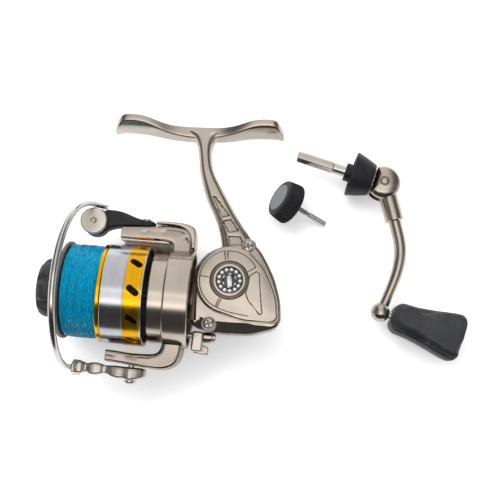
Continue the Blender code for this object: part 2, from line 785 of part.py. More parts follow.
def from_shares(shares, across, along):
    """Points of an outline from shares of two sizes."""
    return [(x * across, y * along) for x, y in shares]


def case_outline():
    """The teardrop of the body: a ring round the crank that runs out into a tail."""
    corner = CASE_CORNER_SHARE * RING_RADIUS
    front = -CASE_FRONT + corner
    low = -CASE_BELLY + corner + CASE_WALL
    points = arc((front, low), corner, math.pi, 3 * math.pi / 2, 3)
    points += from_shares(CASE_EDGE_SHARES, CASE_TAIL, CASE_BELLY)
    points += arc((0, CRANK_OFFSET), RING_RADIUS, math.radians(76), math.pi, 8)
    return points


def dome_outline():
    """The raised teardrop on the side cover."""
    points = arc((0, CRANK_OFFSET), DOME_RADIUS, math.radians(72), math.radians(255), 12)
    return points + from_shares(DOME_EDGE_SHARES, CASE_TAIL, CASE_BELLY)


def foot_loft():
    """The foot: a bar with a flat waist and two wide pads, hollowed to sit on a rod."""
    half_length = FOOT_LENGTH / 2
    mirrored = [(-along, wide, rise, thick) for along, wide, rise, thick in FOOT_STATION_SHARES[:0:-1]]
    shape = bmesh.new()
    rings = []
    for along, wide, rise, thick in mirrored + list(FOOT_STATION_SHARES):
        half_width = FOOT_WAIST_HALF_WIDTH + wide * (FOOT_PAD_HALF_WIDTH - FOOT_WAIST_HALF_WIDTH)
        thickness = FOOT_PAD_THICKNESS + thick * (FOOT_WAIST_THICKNESS - FOOT_PAD_THICKNESS)
        ring = []
        for side in (1, -1):
            for step in range(FOOT_STRIPS + 1):
                across = side * (2 * step / FOOT_STRIPS - 1)
                z = across * half_width
                y = rise * FOOT_PAD_RISE * (z / FOOT_PAD_HALF_WIDTH) ** 2
                if side < 0:
                    y -= thickness * (1 - (1 - FOOT_EDGE_THICKNESS_SHARE) * across * across)
                ring.append(shape.verts.new((along * half_length, y, z)))
        rings.append(ring)
    for first, second in zip(rings, rings[1:]):
        for step in range(len(first)):
            after = (step + 1) % len(first)
            shape.faces.new((first[step], first[after], second[after], second[step]))
    shape.faces.new(rings[0])
    shape.faces.new(rings[-1][::-1])
    bmesh.ops.recalc_face_normals(shape, faces=shape.faces)
    data = bpy.data.meshes.new("foot")
    shape.to_mesh(data)
    shape.free()
    foot_place = (-FOOT_MIDDLE_X, FOOT_HEIGHT, 0)
    return place("foot", data, REEL, foot_place, (0, 0, FOOT_TILT))


def body_frame():
    """The die-cast body: case, stem and foot in one piece, open on the cover's side."""
    outline = case_outline()
    case = bevelled(plate([outline], -CASE_LEFT_DEPTH, CASE_PARTING, REEL), CASE_BEVEL)
    sides = STEM_LEFT_SHARES + STEM_RIGHT_SHARES
    stem = plate([from_shares(sides, RING_RADIUS, FOOT_HEIGHT)], -STEM_HALF_DEPTH, STEM_HALF_DEPTH, REEL)
    stem = bevelled(stem, STEM_BEVEL)
    boss_length = REST_HEIGHT - CASE_LEFT_DEPTH + CASE_WALL
    boss = cylinder(LEFT_BOSS_RADIUS, boss_length, REEL, (0, CRANK_OFFSET, -REST_HEIGHT))
    boss = bevelled(boss, FINE_BEVEL)
    neck = cylinder(NECK_RADIUS, NECK_LENGTH + CASE_WALL, REEL, (-CASE_FRONT - NECK_LENGTH, 0, 0), TURN_X)
    lug_front = -LEVER_BLOCK_BACK + CLEARANCE
    lug_length = -LUG_BACK - lug_front
    lug = cylinder(LUG_RADIUS, lug_length, REEL, (lug_front, -PAWL_AXIS_DROP, 0), TURN_X, SMALL_STEPS)
    web_half = LUG_RADIUS * LUG_WEB_SHARE
    web = box((lug_front, -PAWL_AXIS_DROP, -web_half), (-LUG_BACK, -CASE_BELLY + CASE_WALL, web_half), REEL)
    piece = fused(case, stem, foot_loft(), boss, neck, lug, web)

    cavity = plate([inset(outline, CASE_WALL)], -CASE_LEFT_DEPTH + CASE_WALL, CASE_PARTING + OVERRUN, REEL)
    bush_bore = cylinder(LEFT_BORE_RADIUS, LEFT_BORE_DEPTH + OVERRUN, REEL,
                         (0, CRANK_OFFSET, -CASE_LEFT_DEPTH + CASE_WALL - LEFT_BORE_DEPTH))
    screw_bore = cylinder(LEFT_SCREW_HOLE_RADIUS, REST_HEIGHT, REEL,
                          (0, CRANK_OFFSET, -REST_HEIGHT - OVERRUN))
    bearing_bore = cylinder(PINION_BEARING_RADIUS + CLEARANCE, NECK_LENGTH + CASE_WALL + 2 * OVERRUN, REEL,
                            (-CASE_FRONT - NECK_LENGTH - OVERRUN, 0, 0), TURN_X)
    lever_bore = cylinder(PAWL_SHAFT_RADIUS + CLEARANCE, lug_length + 2 * OVERRUN, REEL,
                          (lug_front - OVERRUN, -PAWL_AXIS_DROP, 0), TURN_X, SMALL_STEPS)
    piece = cut(piece, cavity, bush_bore, screw_bore, bearing_bore, lever_bore)
    for shares in STEM_POCKET_SHARES:
        pocket = plate([from_shares(shares, RING_RADIUS, FOOT_HEIGHT)], STEM_HALF_DEPTH - POCKET_DEPTH,
                       STEM_HALF_DEPTH + OVERRUN, REEL)
        piece = cut(piece, pocket)
    for x, y in screw_places():
        hole = cylinder(SCREW_SHANK_RADIUS + CLEARANCE, SCREW_LENGTH, REEL,
                        (x, y, COVER_LEDGE - SCREW_SEAT_DEPTH - SCREW_LENGTH), sides=SMALL_STEPS)
        piece = cut(piece, hole)
    return name_piece(piece, "body_frame", "black_nickel")


def screw_places():
    """Where the two cover screws stand."""
    return ((EAR_X, EAR_Y), (-LOW_SCREW_X, -LOW_SCREW_Y))


def side_cover():
    """The cover: a shallow lid with a raised teardrop and the seat of the crank bearing."""
    low = CASE_PARTING + CLEARANCE
    outline = case_outline()
    piece = plate([outline], low, COVER_LEDGE, REEL)
    ear = cylinder(COVER_EAR_RADIUS, COVER_LEDGE - low, REEL, (EAR_X, EAR_Y, low))
    piece = bevelled(fused(piece, ear), COVER_BEVEL)
    top = COVER_TOP + DOME_RISE
    dome = bevelled(plate([dome_outline()], COVER_LEDGE - COVER_ROOF / 2, top, REEL), DOME_BEVEL, 2)
    piece = fused(piece, dome)
    hollow = plate([inset(dome_outline(), CASE_WALL)], low - OVERRUN, COVER_TOP, REEL)
    lower_hollow = plate([inset(outline, CASE_WALL)], low - OVERRUN, COVER_LEDGE - COVER_ROOF, REEL)
    bore = cylinder(BEARING_OUTER_RADIUS + CLEARANCE, top, REEL, (0, CRANK_OFFSET, OVERRUN))
    groove_low = top - COVER_GROOVE_DEPTH
    groove = turned([(COVER_SEAT_RADIUS, groove_low), (COVER_GROOVE_RADIUS, groove_low),
                     (COVER_GROOVE_RADIUS, top + OVERRUN), (COVER_SEAT_RADIUS, top + OVERRUN)],
                    REEL, (0, CRANK_OFFSET, 0))
    neck_room = cylinder(NECK_RADIUS + CLEARANCE, CASE_WALL + CLEARANCE + OVERRUN, REEL,
                         (-CASE_FRONT - OVERRUN, 0, 0), TURN_X)
    piece = cut(piece, hollow, lower_hollow, bore, groove, neck_room)
    stud_x, stud_y = oscillating_centre()
    stud = cylinder(STUD_RADIUS, COVER_TOP + CASE_WALL / 2 - SPUR_BOTTOM, REEL,
                    (stud_x, stud_y, SPUR_BOTTOM))
    shoulder = cylinder(STUD_SHOULDER_RADIUS, COVER_TOP + CASE_WALL / 2 - SPUR_BOTTOM - SPUR_WIDTH - CLEARANCE,
                        REEL, (stud_x, stud_y, SPUR_BOTTOM + SPUR_WIDTH + CLEARANCE))
    piece = fused(piece, stud, shoulder)
    for x, y in screw_places():
        column = cylinder(SCREW_HEAD_RADIUS, COVER_LEDGE - COVER_ROOF / 2 - low, REEL, (x, y, low))
        piece = fused(piece, column)
    for x, y in screw_places():
        hole = cylinder(SCREW_SHANK_RADIUS + CLEARANCE, COVER_LEDGE, REEL, (x, y, OVERRUN),
                        sides=SMALL_STEPS)
        seat = cylinder(SCREW_HEAD_RADIUS + CLEARANCE, DOME_RISE + COVER_TOP, REEL,
                        (x, y, COVER_LEDGE - SCREW_SEAT_DEPTH))
        piece = cut(piece, hole, seat)
    return name_piece(piece, "side_cover", "black_nickel")


def cover_screws():
    """The two cross-head screws that hold the cover."""
    for name, (x, y) in zip(("cover_screw_stem", "cover_screw_belly"), screw_places()):
        head_low = COVER_LEDGE - SCREW_SEAT_DEPTH + CLEARANCE
        screw = turned([(0, head_low - SCREW_LENGTH), (SCREW_SHANK_RADIUS, head_low - SCREW_LENGTH),
                        (SCREW_SHANK_RADIUS, head_low), (SCREW_HEAD_RADIUS, head_low),
                        (SCREW_HEAD_RADIUS, head_low + SCREW_HEAD_HEIGHT / 2),
                        (SCREW_HEAD_RADIUS / 2, head_low + SCREW_HEAD_HEIGHT),
                        (0, head_low + SCREW_HEAD_HEIGHT)], REEL, (x, y, 0), steps=SMALL_STEPS)
        cross_low = head_low + SCREW_HEAD_HEIGHT - SCREW_CROSS_DEPTH
        for quarter in range(2):
            bar = box((-SCREW_CROSS_LENGTH / 2, -SCREW_CROSS_WIDTH / 2, cross_low),
                      (SCREW_CROSS_LENGTH / 2, SCREW_CROSS_WIDTH / 2, cross_low + OVERRUN), REEL,
                      (x, y, 0), (0, 0, SCREW_TWIST + quarter * math.pi / 2))
            screw = cut(screw, bar)
        name_piece(screw, name, "bright_steel")


def crank_bearing():
    """The ball bearing of the crank: an outer race in the cover and a ring of balls."""
    top = COVER_TOP + DOME_RISE - CLEARANCE
    low = top - BEARING_WIDTH
    race_inner = BEARING_OUTER_RADIUS - BEARING_RACE_WALL
    race = turned([(race_inner, low), (BEARING_OUTER_RADIUS, low), (BEARING_OUTER_RADIUS, top),
                   (race_inner, top)], REEL, (0, CRANK_OFFSET, 0))
    name_piece(race, "crank_bearing_race", "bright_steel")
    ball_circle = (race_inner + CRANK_TUBE_RADIUS) / 2
    cage_half = BEARING_BALL_RADIUS / 2
    middle = top - BEARING_BALL_RADIUS - CLEARANCE
    cage = turned([(ball_circle - cage_half, low), (ball_circle + cage_half, low),
                   (ball_circle + cage_half, middle), (ball_circle - cage_half, middle)], CRANK)
    balls = []
    for index in range(BEARING_BALLS):
        angle = index * math.tau / BEARING_BALLS
        spot = (ball_circle * math.cos(angle), ball_circle * math.sin(angle), middle)
        balls.append(ball(BEARING_BALL_RADIUS, CRANK, spot, 6, 4))
    cage = fused(cage, *balls)
    return race, name_piece(cage, "crank_bearing_balls", "bright_steel")


def left_bush():
    """The bush that carries the left end of the crank tube."""
    low = -CASE_LEFT_DEPTH + CASE_WALL - LEFT_BORE_DEPTH + CLEARANCE
    high = low + LEFT_BUSH_LENGTH
    inner = CRANK_TUBE_RADIUS + CLEARANCE
    outer = LEFT_BORE_RADIUS - CLEARANCE
    bush = turned([(inner, low), (outer, low), (outer, high), (inner, high)], REEL, (0, CRANK_OFFSET, 0))
    return name_piece(bush, "left_bush", "oiled_bronze")


def pinion_bearing():
    """The bearing of the pinion in the neck of the body."""
    middle = CASE_FRONT + NECK_LENGTH / 2
    front = -middle - PINION_BEARING_WIDTH / 2
    back = front + PINION_BEARING_WIDTH
    inner = PINION_SLEEVE_RADIUS + CLEARANCE
    ring = turned([(inner, front), (PINION_BEARING_RADIUS, front), (PINION_BEARING_RADIUS, back),
                   (inner, back)], REEL, (0, 0, 0), TURN_X, SMALL_STEPS)
    return name_piece(ring, "pinion_bearing", "bright_steel")


def oscillating_centre():
    """The centre of the oscillating gear, in mesh with the small gear of the crank tube."""
    distance = SPUR_MODULE * (SPUR_TEETH + OSCILLATING_TEETH) / 2
    return math.sqrt(distance * distance - CRANK_OFFSET * CRANK_OFFSET), 0


def spur_gear(teeth, phase, bore, parent, location=(0, 0, 0)):
    """A flat gear with straight teeth."""
    pitch_radius = SPUR_MODULE * teeth / 2
    outline = toothed_outline(teeth, pitch_radius + SPUR_MODULE * SPUR_TIP_SHARE,
                              pitch_radius - SPUR_MODULE * SPUR_ROOT_SHARE, SPUR_FOOT_SHARE,
                              SPUR_CREST_SHARE, phase)
    return plate([outline, circle(bore, SMALL_STEPS)], SPUR_BOTTOM, SPUR_BOTTOM + SPUR_WIDTH, parent,
                 location)


def mesh_direction():
    """The direction from the crank axis to the oscillating gear."""
    x, y = oscillating_centre()
    return math.atan2(y - CRANK_OFFSET, x)


def drive_gear():
    """The face gear with its hexagon-bored tube and the small gear for the oscillation."""
    tube_piece = cylinder(CRANK_TUBE_RADIUS, TUBE_LEFT_END + TUBE_RIGHT_END, CRANK, (0, 0, -TUBE_LEFT_END))
    rim_start = GEAR_TOOTH_INNER_RADIUS - CLEARANCE
    web_thickness = (GEAR_BACK - GEAR_FACE) * GEAR_WEB_SHARE
    disc = turned([(0, -GEAR_BACK), (GEAR_RADIUS, -GEAR_BACK), (GEAR_RADIUS, -GEAR_FACE),
                   (rim_start, -GEAR_FACE), (rim_start, -GEAR_BACK + web_thickness),
                   (0, -GEAR_BACK + web_thickness)], CRANK, steps=GEAR_TEETH)
    piece = fused(tube_piece, disc)
    teeth = []
    for tooth in range(GEAR_TEETH):
        teeth.append(box((GEAR_TOOTH_INNER_RADIUS, -GEAR_TOOTH_WIDTH / 2, -GEAR_FACE - GEAR_TOOTH_HEIGHT),
                         (GEAR_RADIUS - CLEARANCE, GEAR_TOOTH_WIDTH / 2, -GEAR_FACE + GEAR_TOOTH_HEIGHT),
                         CRANK, (0, 0, 0), (0, 0, tooth * math.tau / GEAR_TEETH)))
    piece = fused(piece, grouped(teeth))
    small = spur_gear(SPUR_TEETH, mesh_direction(), CRANK_TUBE_RADIUS * TUBE_JOIN_SHARE, CRANK)
    piece = fused(piece, small)
    hexagon_bore = plate([hexagon(HEX_ACROSS_FLATS + HEX_FIT)], -TUBE_LEFT_END - OVERRUN,
                         TUBE_RIGHT_END + OVERRUN, CRANK)
    return name_piece(cut(piece, hexagon_bore), "drive_gear", "brass")


def oscillating_gear():
    """The gear with the eccentric pin that drives the slider to and fro."""
    pitch = math.tau / OSCILLATING_TEETH
    piece = spur_gear(OSCILLATING_TEETH, mesh_direction() + math.pi + pitch / 2, OSCILLATING_BORE_RADIUS,
                      OSCILLATOR)
    pin = cylinder(ECCENTRIC_PIN_RADIUS, ECCENTRIC_PIN_DROP + SPUR_WIDTH / 2, OSCILLATOR,
                   (-ECCENTRIC, 0, SPUR_BOTTOM - ECCENTRIC_PIN_DROP), sides=SMALL_STEPS)
    return name_piece(fused(piece, pin), "oscillating_gear", "zinc_alloy")


def pinion_gear():
    """The hypoid pinion: each section is turned so that its teeth follow the face gear's radial teeth."""
    ratio = GEAR_TEETH / PINION_TEETH
    pitch = math.tau / PINION_TEETH
    half = pitch * PINION_TOOTH_SHARE / 2
    shape = bmesh.new()
    rings = []
    for station in range(PINION_STATIONS + 1):
        share = station / PINION_STATIONS
        x = -PINION_TOOTH_FRONT + share * (PINION_TOOTH_FRONT - PINION_TOOTH_REAR)
        gap_angle = -ratio * math.atan(-x / CRANK_OFFSET)
        ring = []
        for tooth in range(PINION_TEETH):
            middle = gap_angle + (tooth + 1 / 2) * pitch
            for radius, offset in (
                (PINION_ROOT_RADIUS, -half * PINION_FOOT_SHARE),
                (PINION_TIP_RADIUS, -half),
                (PINION_TIP_RADIUS, half),
                (PINION_ROOT_RADIUS, half * PINION_FOOT_SHARE),
            ):
                angle = middle + offset
                ring.append(shape.verts.new((x, radius * math.sin(angle), -radius * math.cos(angle))))
        rings.append(ring)
    for first, second in zip(rings, rings[1:]):
        for step in range(len(first)):
            after = (step + 1) % len(first)
            shape.faces.new((first[step], first[after], second[after], second[step]))
    shape.faces.new(rings[0])
    shape.faces.new(rings[-1][::-1])
    bmesh.ops.recalc_face_normals(shape, faces=shape.faces)
    data = bpy.data.meshes.new("pinion")
    shape.to_mesh(data)
    shape.free()
    teeth = place("pinion", data, ROTOR)
    sleeve_length = PINION_FRONT - PINION_TOOTH_FRONT + CLEARANCE
    sleeve = cylinder(PINION_SLEEVE_RADIUS, sleeve_length, ROTOR, (-PINION_FRONT, 0, 0), TURN_X)
    bore = cylinder(PINION_BORE_RADIUS, PINION_FRONT + OVERRUN, ROTOR, (-PINION_FRONT - OVERRUN, 0, 0),
                    TURN_X)
    return name_piece(cut(fused(sleeve, teeth), bore), "pinion_gear", "brass")


def pawl_tip_angle():
    """The angle about the spool axis at which the pawl's tip enters the ratchet."""
    lean = PAWL_REST_ANGLE - math.radians(PAWL_RANGE_DEG)
    y = -PAWL_AXIS_DROP + PAWL_ARM * math.cos(lean)
    z = PAWL_ARM * math.sin(lean)
    return math.atan2(y, -z)


def ratchet_wheel():
    """The anti-reverse ratchet on the pinion."""
    gap_phase = pawl_tip_angle() + math.pi / RATCHET_TEETH
    outline = toothed_outline(RATCHET_TEETH, RATCHET_TIP_RADIUS, RATCHET_ROOT_RADIUS, RATCHET_FOOT_SHARE,
                              RATCHET_CREST_SHARE, gap_phase)
    bore = circle(PINION_SLEEVE_RADIUS + CLEARANCE, STEPS)
    wheel = plate([outline, bore], 0, RATCHET_WIDTH, ROTOR, (-RATCHET_FRONT, 0, 0), TURN_X)
    return name_piece(wheel, "ratchet_wheel", "zinc_alloy")


def rotor_nut():
    """The nut that holds the rotor on the pinion."""
    bore = circle(PINION_SLEEVE_RADIUS + CLEARANCE, STEPS)
    nut = plate([hexagon(NUT_ACROSS_FLATS), bore], 0, NUT_WIDTH, ROTOR,
                (-ROTOR_WEB_FRONT - CLEARANCE - NUT_WIDTH, 0, 0), TURN_X)
    return name_piece(nut, "rotor_nut", "brass")


def rotor():
    """The rotor: a stepped cup with its web and hub, and two arms that run forward."""
    front_inner = ROTOR_FRONT_RADIUS - ROTOR_WALL
    bore = PINION_SLEEVE_RADIUS + CLEARANCE
    cup = turned([
        (bore, -ROTOR_WEB_FRONT), (front_inner, -ROTOR_WEB_FRONT), (front_inner, -ROTOR_FRONT),
        (ROTOR_FRONT_RADIUS, -ROTOR_FRONT), (ROTOR_FRONT_RADIUS, -ROTOR_STEP),
        (ROTOR_RADIUS, -ROTOR_STEP), (ROTOR_RADIUS, -ROTOR_BACK), (ROTOR_RADIUS - ROTOR_WALL, -ROTOR_BACK),
        (ROTOR_RADIUS - ROTOR_WALL, -ROTOR_STEP), (front_inner, -ROTOR_WEB_BACK),
        (ROTOR_HUB_RADIUS, -ROTOR_WEB_BACK), (ROTOR_HUB_RADIUS, -ROTOR_HUB_BACK), (bore, -ROTOR_HUB_BACK),
    ], ROTOR, (0, 0, 0), TURN_X, BIG_STEPS)
    root = ROTOR_RADIUS - ARM_ROOT_DEPTH
    waist = -ROTOR_STEP - CLEARANCE
    upper = plate([[
        (-UPPER_ARM_FRONT, UPPER_ARM_NOSE_INNER), (waist - SOFT_BEVEL, UPPER_ARM_INNER),
        (waist, root), (-UPPER_ARM_BACK, root), (-UPPER_ARM_BACK, UPPER_ARM_NOSE_INNER),
        (-UPPER_ARM_BACK - ARM_BEVEL, UPPER_ARM_OUTER),
                    (-UPPER_ARM_BACK - 2 * ARM_BEVEL, UPPER_ARM_SHOULDER),
        (-ARM_COVER_FRONT, UPPER_ARM_SHOULDER), (-ARM_COVER_FRONT - ARM_BEVEL, UPPER_ARM_OUTER),
        (-UPPER_ARM_FRONT, UPPER_ARM_OUTER),
    ]], -ARM_HALF_DEPTH, ARM_HALF_DEPTH, ROTOR)
    elbow_x = -UPPER_ARM_BACK - LOWER_ARM_ELBOW
    elbow = arc((elbow_x, -LOWER_ARM_BULGE + LOWER_ARM_ELBOW), LOWER_ARM_ELBOW, -math.pi / 2, 0, 6)
    lower = plate([
        [(-LOWER_ARM_FRONT, -LOWER_ARM_OUTER)] + elbow + [
            (-UPPER_ARM_BACK, -root), (waist, -root), (waist - ARM_BEVEL, -UPPER_ARM_INNER),
            (-LOWER_ARM_BACK_X, -LOWER_ARM_INNER), (-LOWER_ARM_FRONT, -LOWER_ARM_INNER),
        ]], -ARM_HALF_DEPTH, ARM_HALF_DEPTH, ROTOR)
    piece = fused(cup, bevelled(upper, ARM_BEVEL, 2), bevelled(lower, ARM_BEVEL, 2))
    pivot_bore = cylinder(PIVOT_SCREW_RADIUS + CLEARANCE, 2 * BAIL_ARM_OUTER, ROTOR,
                          (-BAIL_PIVOT_X, -BAIL_ARM_OUTER, 0), TURN_Y, SMALL_STEPS)
    return name_piece(cut(piece, pivot_bore), "rotor", "black_nickel")


def arm_cover():
    """The cap over the upper rotor arm that closes the bail spring in."""
    low = UPPER_ARM_SHOULDER + CLEARANCE
    front = -ARM_COVER_FRONT
    back = -UPPER_ARM_BACK - ARM_BEVEL
    rise = ARM_COVER_OUTER - low
    outline = [(front, low), (back, low), (back + ARM_BEVEL, low + rise / 2),
               (back - ARM_BEVEL, ARM_COVER_OUTER),
               (front + 2 * ARM_BEVEL, ARM_COVER_OUTER - CLEARANCE), (front, low + rise / 2)]
    piece = bevelled(plate([outline], -ARM_HALF_DEPTH, ARM_HALF_DEPTH, ROTOR), ARM_BEVEL, 2)
    pocket_half = ARM_HALF_DEPTH - ARM_COVER_THICKNESS
    pocket = box((front + ARM_COVER_THICKNESS, low - OVERRUN, -pocket_half),
                 (back - ARM_COVER_THICKNESS, ARM_COVER_OUTER - ARM_COVER_THICKNESS, pocket_half), ROTOR)
    return name_piece(cut(piece, pocket), "rotor_arm_cover", "black_nickel")


def bail_spring():
    """The spring that snaps the bail shut, laid in the arm cover."""
    low = UPPER_ARM_SHOULDER + CLEARANCE + BAIL_SPRING_WIRE + CLEARANCE
    front = -ARM_COVER_FRONT + ARM_COVER_THICKNESS + CLEARANCE + BAIL_SPRING_WIRE
    length = ARM_COVER_FRONT - UPPER_ARM_BACK - ARM_BEVEL - 2 * (ARM_COVER_THICKNESS + CLEARANCE + BAIL_SPRING_WIRE)
    centre = low + BAIL_SPRING_RADIUS
    points = []
    count = BAIL_SPRING_CURLS * BAIL_SPRING_POINTS
    for step in range(count + 1):
        turn = math.tau * step / BAIL_SPRING_POINTS
        points.append((front + length * step / count, centre + BAIL_SPRING_RADIUS * math.cos(turn),
                       BAIL_SPRING_RADIUS * math.sin(turn)))
    return name_piece(tube(points, BAIL_SPRING_WIRE, ROTOR, 1), "bail_spring", "bright_steel")


def bail_pivot_screws():
    """The two screws on which the bail swings."""
    ends = (("upper", 1, BAIL_ARM_OUTER, UPPER_ARM_INNER), ("lower", -1, LEVER_OUTER, LOWER_ARM_INNER))
    for end, side, hub_outer, seat in ends:
        head_low = hub_outer + CLEARANCE
        length = head_low - seat
        screw = turned([
            (0, -length), (PIVOT_SCREW_RADIUS, -length), (PIVOT_SCREW_RADIUS, 0), (PIVOT_HEAD_RADIUS, 0),
            (PIVOT_HEAD_RADIUS, PIVOT_HEAD_HEIGHT / 2), (PIVOT_HEAD_RADIUS / 2, PIVOT_HEAD_HEIGHT),
            (0, PIVOT_HEAD_HEIGHT),
        ], ROTOR, (-BAIL_PIVOT_X, side * head_low, 0), (-side * math.pi / 2, 0, 0), SMALL_STEPS)
        name_piece(screw, "bail_pivot_screw_" + end, "bright_steel")


def bail_route():
    """The wire: it leaves the two arms forwards, rises over the spool and meets in the middle."""
    middle_y = (WIRE_TOP_Y - WIRE_LOW_Y) / 2
    half_span = (WIRE_TOP_Y + WIRE_LOW_Y) / 2
    points = [(-WIRE_TOP_X + WIRE_TAIL, WIRE_TOP_Y, 0)]
    for step in range(WIRE_POINTS):
        turn = math.pi * (1 - math.cos(math.pi * step / (WIRE_POINTS - 1))) / 2
        rise = max(math.sin(turn), 0)
        end_x = WIRE_TOP_X + (WIRE_LOW_X - WIRE_TOP_X) * step / (WIRE_POINTS - 1)
        points.append((
            -end_x - (WIRE_FRONT_X - end_x) * rise ** WIRE_FORWARD_SHARE,
            middle_y + half_span * math.cos(turn),
            WIRE_HEIGHT * rise ** WIRE_UPWARD_SHARE,
        ))
    points.append((-LEVER_FRONT - FINE_BEVEL - CLEARANCE, -WIRE_LOW_Y, 0))
    return points


def from_pivot(points):
    """Points moved into the bail's own frame, whose origin lies on the pivot axis."""
    return [(x + BAIL_PIVOT_X, y, z) for x, y, z in points]


def bail_wire():
    """The bail wire."""
    return name_piece(tube(from_pivot(bail_route()), BAIL_WIRE_RADIUS, BAIL), "bail_wire", "bright_steel")


def bail_arm():
    """The black arm that carries the line roller at its end."""
    nose = BAIL_PIVOT_X - BAIL_ARM_NOSE
    wire_seat = WIRE_TOP_Y - BAIL_WIRE_RADIUS - CLEARANCE
    outline = [(0, BAIL_ARM_INNER), (0, BAIL_ARM_OUTER), (-BAIL_HUB_RADIUS, BAIL_ARM_OUTER),
               (nose * WIRE_SEAT_SHARE, wire_seat),
               (nose, wire_seat), (nose, BAIL_ARM_INNER - SOFT_BEVEL),
               (BAIL_PIVOT_X - UPPER_ARM_FRONT - CLEARANCE, BAIL_ARM_INNER)]
    arm = bevelled(plate([outline], -BAIL_ARM_HALF_DEPTH, BAIL_ARM_HALF_DEPTH, BAIL), ARM_BEVEL, 2)
    hub = cylinder(BAIL_HUB_RADIUS, BAIL_ARM_OUTER - BAIL_ARM_INNER, BAIL, (0, BAIL_ARM_INNER, 0), TURN_Y)
    hub = bevelled(hub, FINE_BEVEL)
    eye_x = BAIL_PIVOT_X - BAIL_EYE_X
    eye = cylinder(BAIL_EYE_RADIUS, BAIL_EYE_BOTTOM - BAIL_EYE_TOP, BAIL,
                   (eye_x, BAIL_EYE_Y, -BAIL_EYE_BOTTOM))
    eye = bevelled(eye, FINE_BEVEL)
    hub_bore = cylinder(PIVOT_SCREW_RADIUS + CLEARANCE, 2 * BAIL_ARM_OUTER, BAIL, (0, 0, 0), TURN_Y,
                        SMALL_STEPS)
    pin_bore = cylinder(ROLLER_PIN_RADIUS + CLEARANCE, 2 * BAIL_EYE_BOTTOM, BAIL,
                        (eye_x, BAIL_EYE_Y, -BAIL_EYE_BOTTOM - OVERRUN), sides=SMALL_STEPS)
    roller_room = cylinder(ROLLER_RADIUS + CLEARANCE, ROLLER_LENGTH + 2 * CLEARANCE, BAIL,
                           (eye_x, BAIL_EYE_Y, -BAIL_EYE_TOP))
    return name_piece(cut(fused(arm, hub, eye), hub_bore, pin_bore, roller_room), "bail_arm",
                      "black_plastic")


def line_roller():
    """The waisted roller that guides the line."""
    low = -BAIL_EYE_TOP + CLEARANCE
    high = low + ROLLER_LENGTH
    middle = (low + high) / 2
    roller = turned([(ROLLER_BORE_RADIUS, low), (ROLLER_RADIUS, low), (ROLLER_RADIUS, low + SOFT_BEVEL),
                     (ROLLER_WAIST_RADIUS, middle), (ROLLER_RADIUS, high - SOFT_BEVEL),
                     (ROLLER_RADIUS, high), (ROLLER_BORE_RADIUS, high)], ROLLER, steps=STEPS)
    return name_piece(roller, "line_roller", "bright_steel")


def roller_cap():
    """The round-headed screw that holds the line roller."""
    low = -BAIL_EYE_TOP + ROLLER_LENGTH + 2 * CLEARANCE
    high = low + CAP_THICKNESS
    dimple = ROLLER_PIN_RADIUS * CAP_DIMPLE_SHARE
    cap = turned([(0, -BAIL_EYE_BOTTOM), (ROLLER_PIN_RADIUS, -BAIL_EYE_BOTTOM), (ROLLER_PIN_RADIUS, low),
                  (CAP_RADIUS, low), (CAP_RADIUS, high - SOFT_BEVEL), (CAP_RADIUS - SOFT_BEVEL, high),
                  (dimple, high), (0, high - SOFT_BEVEL)], ROLLER)
    return name_piece(cap, "roller_cap_screw", "satin_champagne")


def bail_lever():
    """The cast lever that holds the other end of the wire."""
    front = BAIL_PIVOT_X - LEVER_FRONT
    back = BAIL_PIVOT_X - LEVER_BACK
    waist = front * LEVER_WAIST_SHARE
    outline = [(front, -LEVER_INNER), (front, -LEVER_OUTER), (waist, -LEVER_OUTER + SOFT_BEVEL),
               (0, -LEVER_OUTER), (back, -LEVER_OUTER + SOFT_BEVEL), (back, -LEVER_INNER)]
    lever = bevelled(plate([outline], -LEVER_HALF_DEPTH, LEVER_HALF_DEPTH, BAIL), ARM_BEVEL, 2)
    boss = cylinder(LEVER_BOSS_RADIUS, LEVER_OUTER - LEVER_INNER, BAIL, (0, -LEVER_OUTER - FINE_BEVEL, 0),
                    TURN_Y)
    nut = cylinder(WIRE_NUT_RADIUS, WIRE_NUT_LENGTH, BAIL, (front - FINE_BEVEL, -WIRE_LOW_Y, 0), TURN_X, 6)
    bore = cylinder(PIVOT_SCREW_RADIUS + CLEARANCE, 2 * LEVER_OUTER, BAIL, (0, -2 * LEVER_OUTER, 0), TURN_Y,
                    SMALL_STEPS)
    piece = combined(fused(lever, nut), boss, "UNION", "MANIFOLD")
    piece = cut(piece, bore)
    return name_piece(piece, "bail_lever", "bright_steel")


def spool_core():
    """The spool: front lip, arbor and hub, with a pocket for the drag washers in front."""
    arbor_front = -SPOOL_FRONT + LIP_THICKNESS
    web_back = -BAY_BACK + RIM_WIDTH + CLEARANCE
    core = turned([
        (PINION_BORE_RADIUS, -POCKET_BACK), (POCKET_RADIUS, -POCKET_BACK), (POCKET_RADIUS, -SPOOL_FRONT),
        (LIP_RADIUS - SOFT_BEVEL, -SPOOL_FRONT), (LIP_RADIUS, -SPOOL_FRONT + SOFT_BEVEL),
        (LIP_RADIUS, arbor_front - CLEARANCE), (LIP_RADIUS - SOFT_BEVEL, arbor_front),
                   (ARBOR_RADIUS, arbor_front),
        (ARBOR_RADIUS, web_back), (HUB_RADIUS, web_back), (HUB_RADIUS, web_back + HUB_LENGTH),
        (PINION_BORE_RADIUS, web_back + HUB_LENGTH),
    ], SPOOL, (0, 0, 0), TURN_X, BIG_STEPS)
    return name_piece(core, "spool_core", "zinc_alloy")


